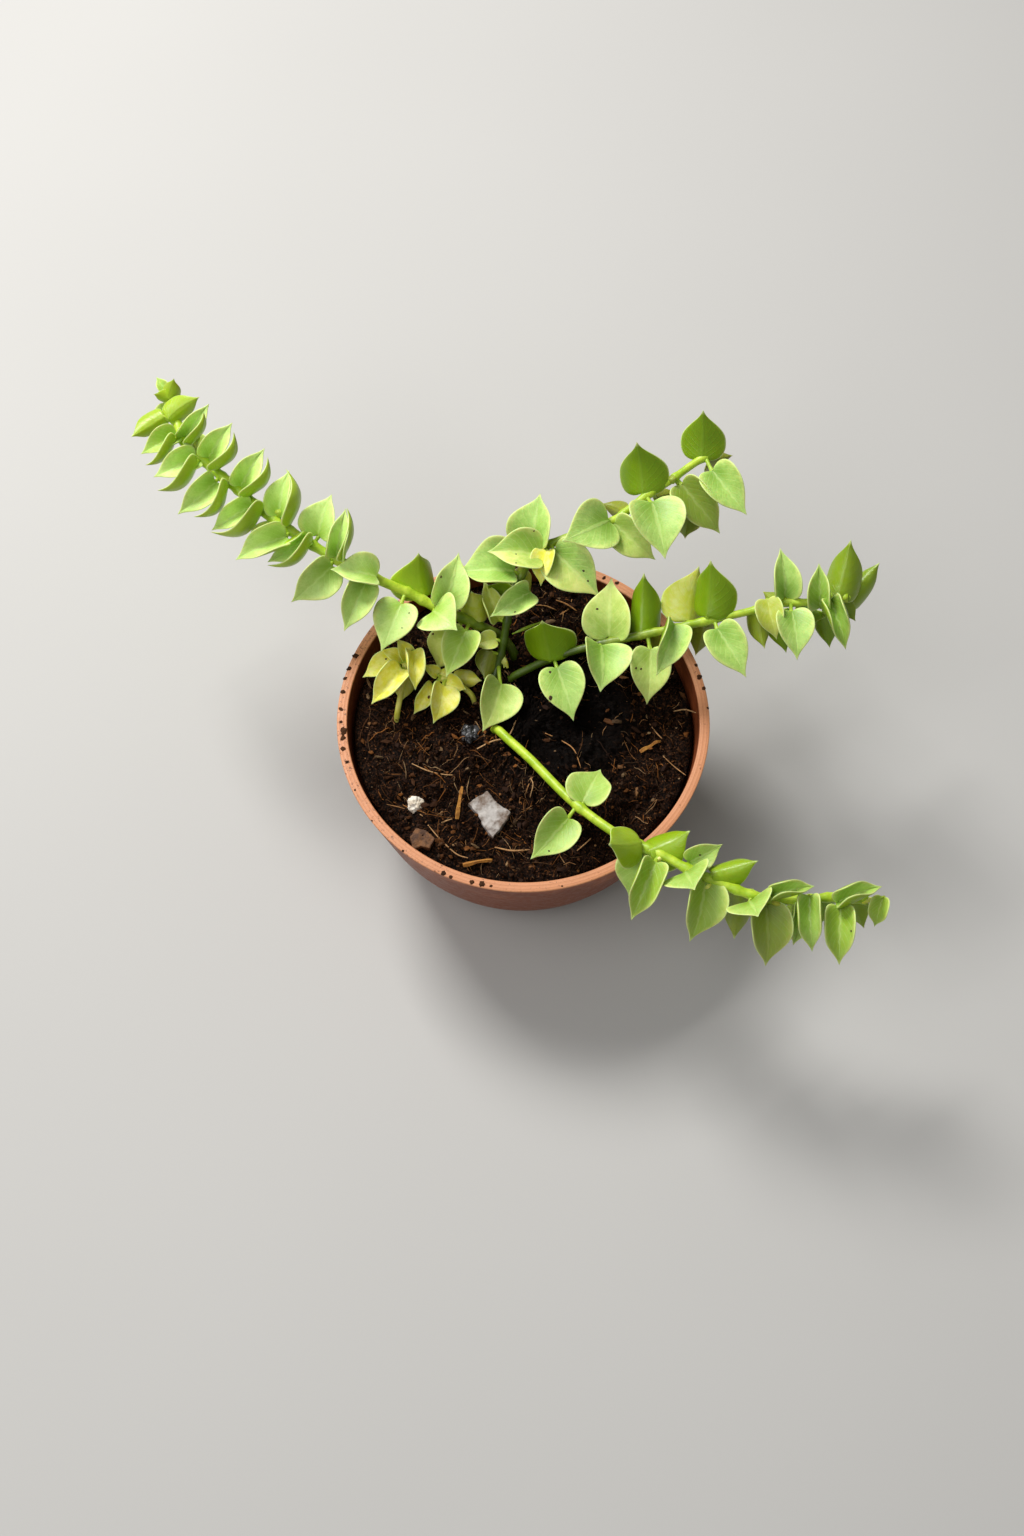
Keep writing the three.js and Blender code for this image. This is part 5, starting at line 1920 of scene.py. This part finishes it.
@dataclass(frozen=True)
class Studio:
    """The floor, the light and the camera."""

    sensor: float = 36.0
    floor_size: float = 6.0
    floor_dark: Colour = (0.5, 0.495, 0.485)
    floor_pale: Colour = (0.56, 0.555, 0.545)
    warm: Colour = (1.0, 0.985, 0.95)
    sky: Colour = (1.0, 0.99, 0.97)
    sky_strength: float = 0.24

    def _area(self, name: str, place: tuple, aim: tuple, size: float, power: float, tint: Colour) -> None:
        """Adds a soft square light that looks at a point.

        Args:
            name: Its name.
            place: Where it hangs, in metres.
            aim: The point.
            size: Its side in metres.
            power: Its power in watts.
            tint: Its colour.
        """
        lamp = bpy.data.lights.new(name, "AREA")
        lamp.size = size
        lamp.energy = power
        lamp.color = tint
        holder = bpy.data.objects.new(name, lamp)
        holder.location = place
        way = Vector(aim) - Vector(place)
        holder.rotation_euler = way.to_track_quat("-Z", "Y").to_euler()
        bpy.context.scene.collection.objects.link(holder)

    def floor(self) -> bpy.types.Object:
        """Builds the pale floor.

        Returns:
            The floor's object.
        """
        bm = bmesh.new()
        bmesh.ops.create_grid(bm, x_segments=8, y_segments=8, size=self.floor_size / 2)
        mesh = bpy.data.meshes.new("studio_floor")
        bm.to_mesh(mesh)
        bm.free()
        n = Nodes("pale_floor", Roughness=0.9)
        mesh.materials.append(n.finish(n.mix(n.noise(3.0, 2, 0.5), self.floor_dark, self.floor_pale)))
        floor = bpy.data.objects.new("studio_floor", mesh)
        bpy.context.scene.collection.objects.link(floor)
        return floor

    def lights(self) -> None:
        """Adds the soft key from behind on the left, the fill from the front and the sky."""
        self._area("key", (-0.45, 0.62, 0.95), (0, 0, 0.07), size=0.4, power=14.5, tint=self.warm)
        self._area("fill", (-0.5, -0.35, 1.05), (-0.04, 0, 0.08), size=0.7, power=4.5, tint=self.sky)
        world = bpy.data.worlds.new("studio_sky")
        world.use_nodes = True
        sky = world.node_tree.nodes["Background"]
        sky.inputs["Color"].default_value = (*self.sky, 1.0)
        sky.inputs["Strength"].default_value = self.sky_strength
        bpy.context.scene.world = world
        bpy.context.scene.view_settings.view_transform = "Standard"

    def camera(self) -> None:
        """Stands the camera at the photograph's viewpoint."""
        lens = bpy.data.cameras.new("photograph")
        lens.sensor_width = self.sensor
        lens.lens = self.sensor * VIEW.focal / VIEW.frame[1]
        lens.clip_start = 0.01
        holder = bpy.data.objects.new("photograph", lens)
        holder.location = VIEW.eye * MM
        holder.rotation_euler = (math.pi / 2 - VIEW.tilt, 0.0, 0.0)
        bpy.context.scene.collection.objects.link(holder)
        bpy.context.scene.camera = holder


# Specks on the leaves: their pixel, their radius in millimetres and the vine that they are on.
SPECKS = (
    ((583.5, 571), 0.45, "back_vine"),
    ((588, 581), 0.4, "back_vine"),
    ((516, 554), 0.35, "back_vine"),
    ((516, 563), 0.4, "back_vine"),
    ((534, 531), 0.35, "back_vine"),
    ((515, 612), 0.4, "back_vine"),
    ((433, 634), 0.4, "left_vine"),
    ((409, 613), 0.35, "left_vine"),
    ((402, 628), 0.3, "left_vine"),
    ((441, 577), 0.5, "left_vine"),
    ((597, 609), 0.5, "right_vine"),
    ((550.5, 698), 0.95, "right_vine"),
    ((550, 672), 0.5, "right_vine"),
    ((636, 668), 0.55, "right_vine"),
    ((641, 669), 0.45, "right_vine"),
    ((851, 931), 0.5, "front_vine"),
    ((700, 855), 0.4, "front_vine"),
    ((549, 851), 0.4, "front_vine"),
    ((429, 697), 0.7, "near_yellow_shoot"),
    ((425, 674), 0.4, "near_yellow_shoot"),
    ((386, 659), 0.4, "far_yellow_shoot"),
)

# Buds, dry sheaths and stubs on the stems: their two ends as pixels, their radius in millimetres, their
# vine and their tone.
BUDS = (
    (((279, 508), (279, 517)), 1.3, "left_vine", Tone.CREAM),
    (((672, 475), (673, 484)), 1.3, "back_vine", Tone.CREAM),
    (((508, 668), (500, 653)), 1.1, "back_vine", Tone.AMBER),
    (((504, 668), (505, 655)), 0.6, "back_vine", Tone.AMBER),
    (((512, 634), (541, 622)), 0.55, "back_vine", Tone.YOUNG),
    (((654, 862), (665, 855)), 0.7, "front_vine", Tone.YELLOW),
    (((705, 889), (711, 884)), 0.7, "front_vine", Tone.YELLOW),
    (((770, 901), (782, 905)), 0.8, "front_vine", Tone.AMBER),
    (((862, 903), (874, 898)), 0.7, "front_vine", Tone.YELLOW),
    (((821, 604), (830, 606)), 0.7, "right_vine", Tone.AMBER),
    (((528, 559), (534, 563)), 0.8, "back_vine", Tone.AMBER),
)

VINES = (BACK_VINE, LEFT_VINE, RIGHT_VINE, FRONT_VINE, NEAR_YELLOW_SHOOT, FAR_YELLOW_SHOOT)


def main() -> None:
    """Builds and dresses the whole part."""
    logging.basicConfig(level=logging.INFO, format="%(message)s")
    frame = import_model()
    LOG.info("frame: %d nodes", len(frame["nodes"]))
    studio = Studio()
    studio.camera()
    studio.lights()
    studio.floor()
    PotPiece().build(PotFinish().material())
    ground = Ground()
    SoilPiece(ground).build(SoilFinish().material())
    litter = Litter(ground)
    fibre_finish = LitterFinish().material()
    litter.crumbs(fibre_finish)
    litter.fibres(fibre_finish)
    litter.lip_dirt(fibre_finish, PotPiece())
    finishes = {
        "chip": PlainFinish("broken_chip", (0.46, 0.43, 0.41), (0.15, 0.1, 0.07), 190).material(),
        "bark": PlainFinish("bark_flake", (0.2, 0.085, 0.03), (0.05, 0.02, 0.009), 380).material(),
        "pebble": PlainFinish(
            "wet_pebble", (0.012, 0.012, 0.013), (0.07, 0.07, 0.075), 380, roughness=0.22
        ).material(),
        "perlite": PlainFinish("perlite", (0.86, 0.8, 0.7), (0.6, 0.5, 0.38), 420, 0.9).material(),
        "stick": PlainFinish("amber_stick", (0.55, 0.25, 0.04), (0.3, 0.11, 0.02), 500).material(),
    }
    LooseStones(ground).build(finishes)
    speck = PlainFinish("brown_speck", (0.09, 0.035, 0.01), (0.02, 0.01, 0.004), 900, 0.7, 0.00005)
    growth = [LeafFinish().material(), StemFinish().material(), speck.material()]
    # Painted light: a brighter copy of the leaf finish, so that the left vine's leaves show as more lit than
    # the others.
    sunlit = LeafFinish(
        "sunlit_leaf_flesh",
        bloom=(0.63, 0.85, 0.26),
        upper=(0.3, 0.53, 0.035),
        lower=(0.35, 0.53, 0.014),
        base=(0.22, 0.38, 0.008),
    )
    lime = LeafFinish(
        "lime_leaf_flesh",
        bloom=(0.46, 0.66, 0.15),
        upper=(0.25, 0.44, 0.02),
        lower=(0.28, 0.44, 0.008),
        base=(0.12, 0.24, 0.004),
    )
    leaf_finishes = {"left_vine": sunlit.material(), "front_vine": lime.material()}
    # Painted shade: the back and right vines' stems are dark over more of their length from the base, the
    # front vine's hardly at all.
    base_shaded = StemFinish("aged_stem_skin", ages=(0.3, 0.7)).material()
    barely_shaded = StemFinish("fresh_stem_skin", ages=(-0.3, 0.1)).material()
    stem_finishes = {"right_vine": base_shaded, "back_vine": base_shaded, "front_vine": barely_shaded}
    fading = StemFinish("fading_stem_skin", (0.3, 0.32, 0.03), (0.6, 0.6, 0.07), (0.74, 0.72, 0.16))
    fading_growth = [growth[0], fading.material(), growth[2]]
    for vine in VINES:
        if "yellow" in vine.name:
            VinePiece(vine, fading_growth).build()
        else:
            flesh = leaf_finishes.get(vine.name, growth[0])
            skin = stem_finishes.get(vine.name, growth[1])
            VinePiece(vine, [flesh, skin, growth[2]]).build()


if __name__ == "__main__":
    main()
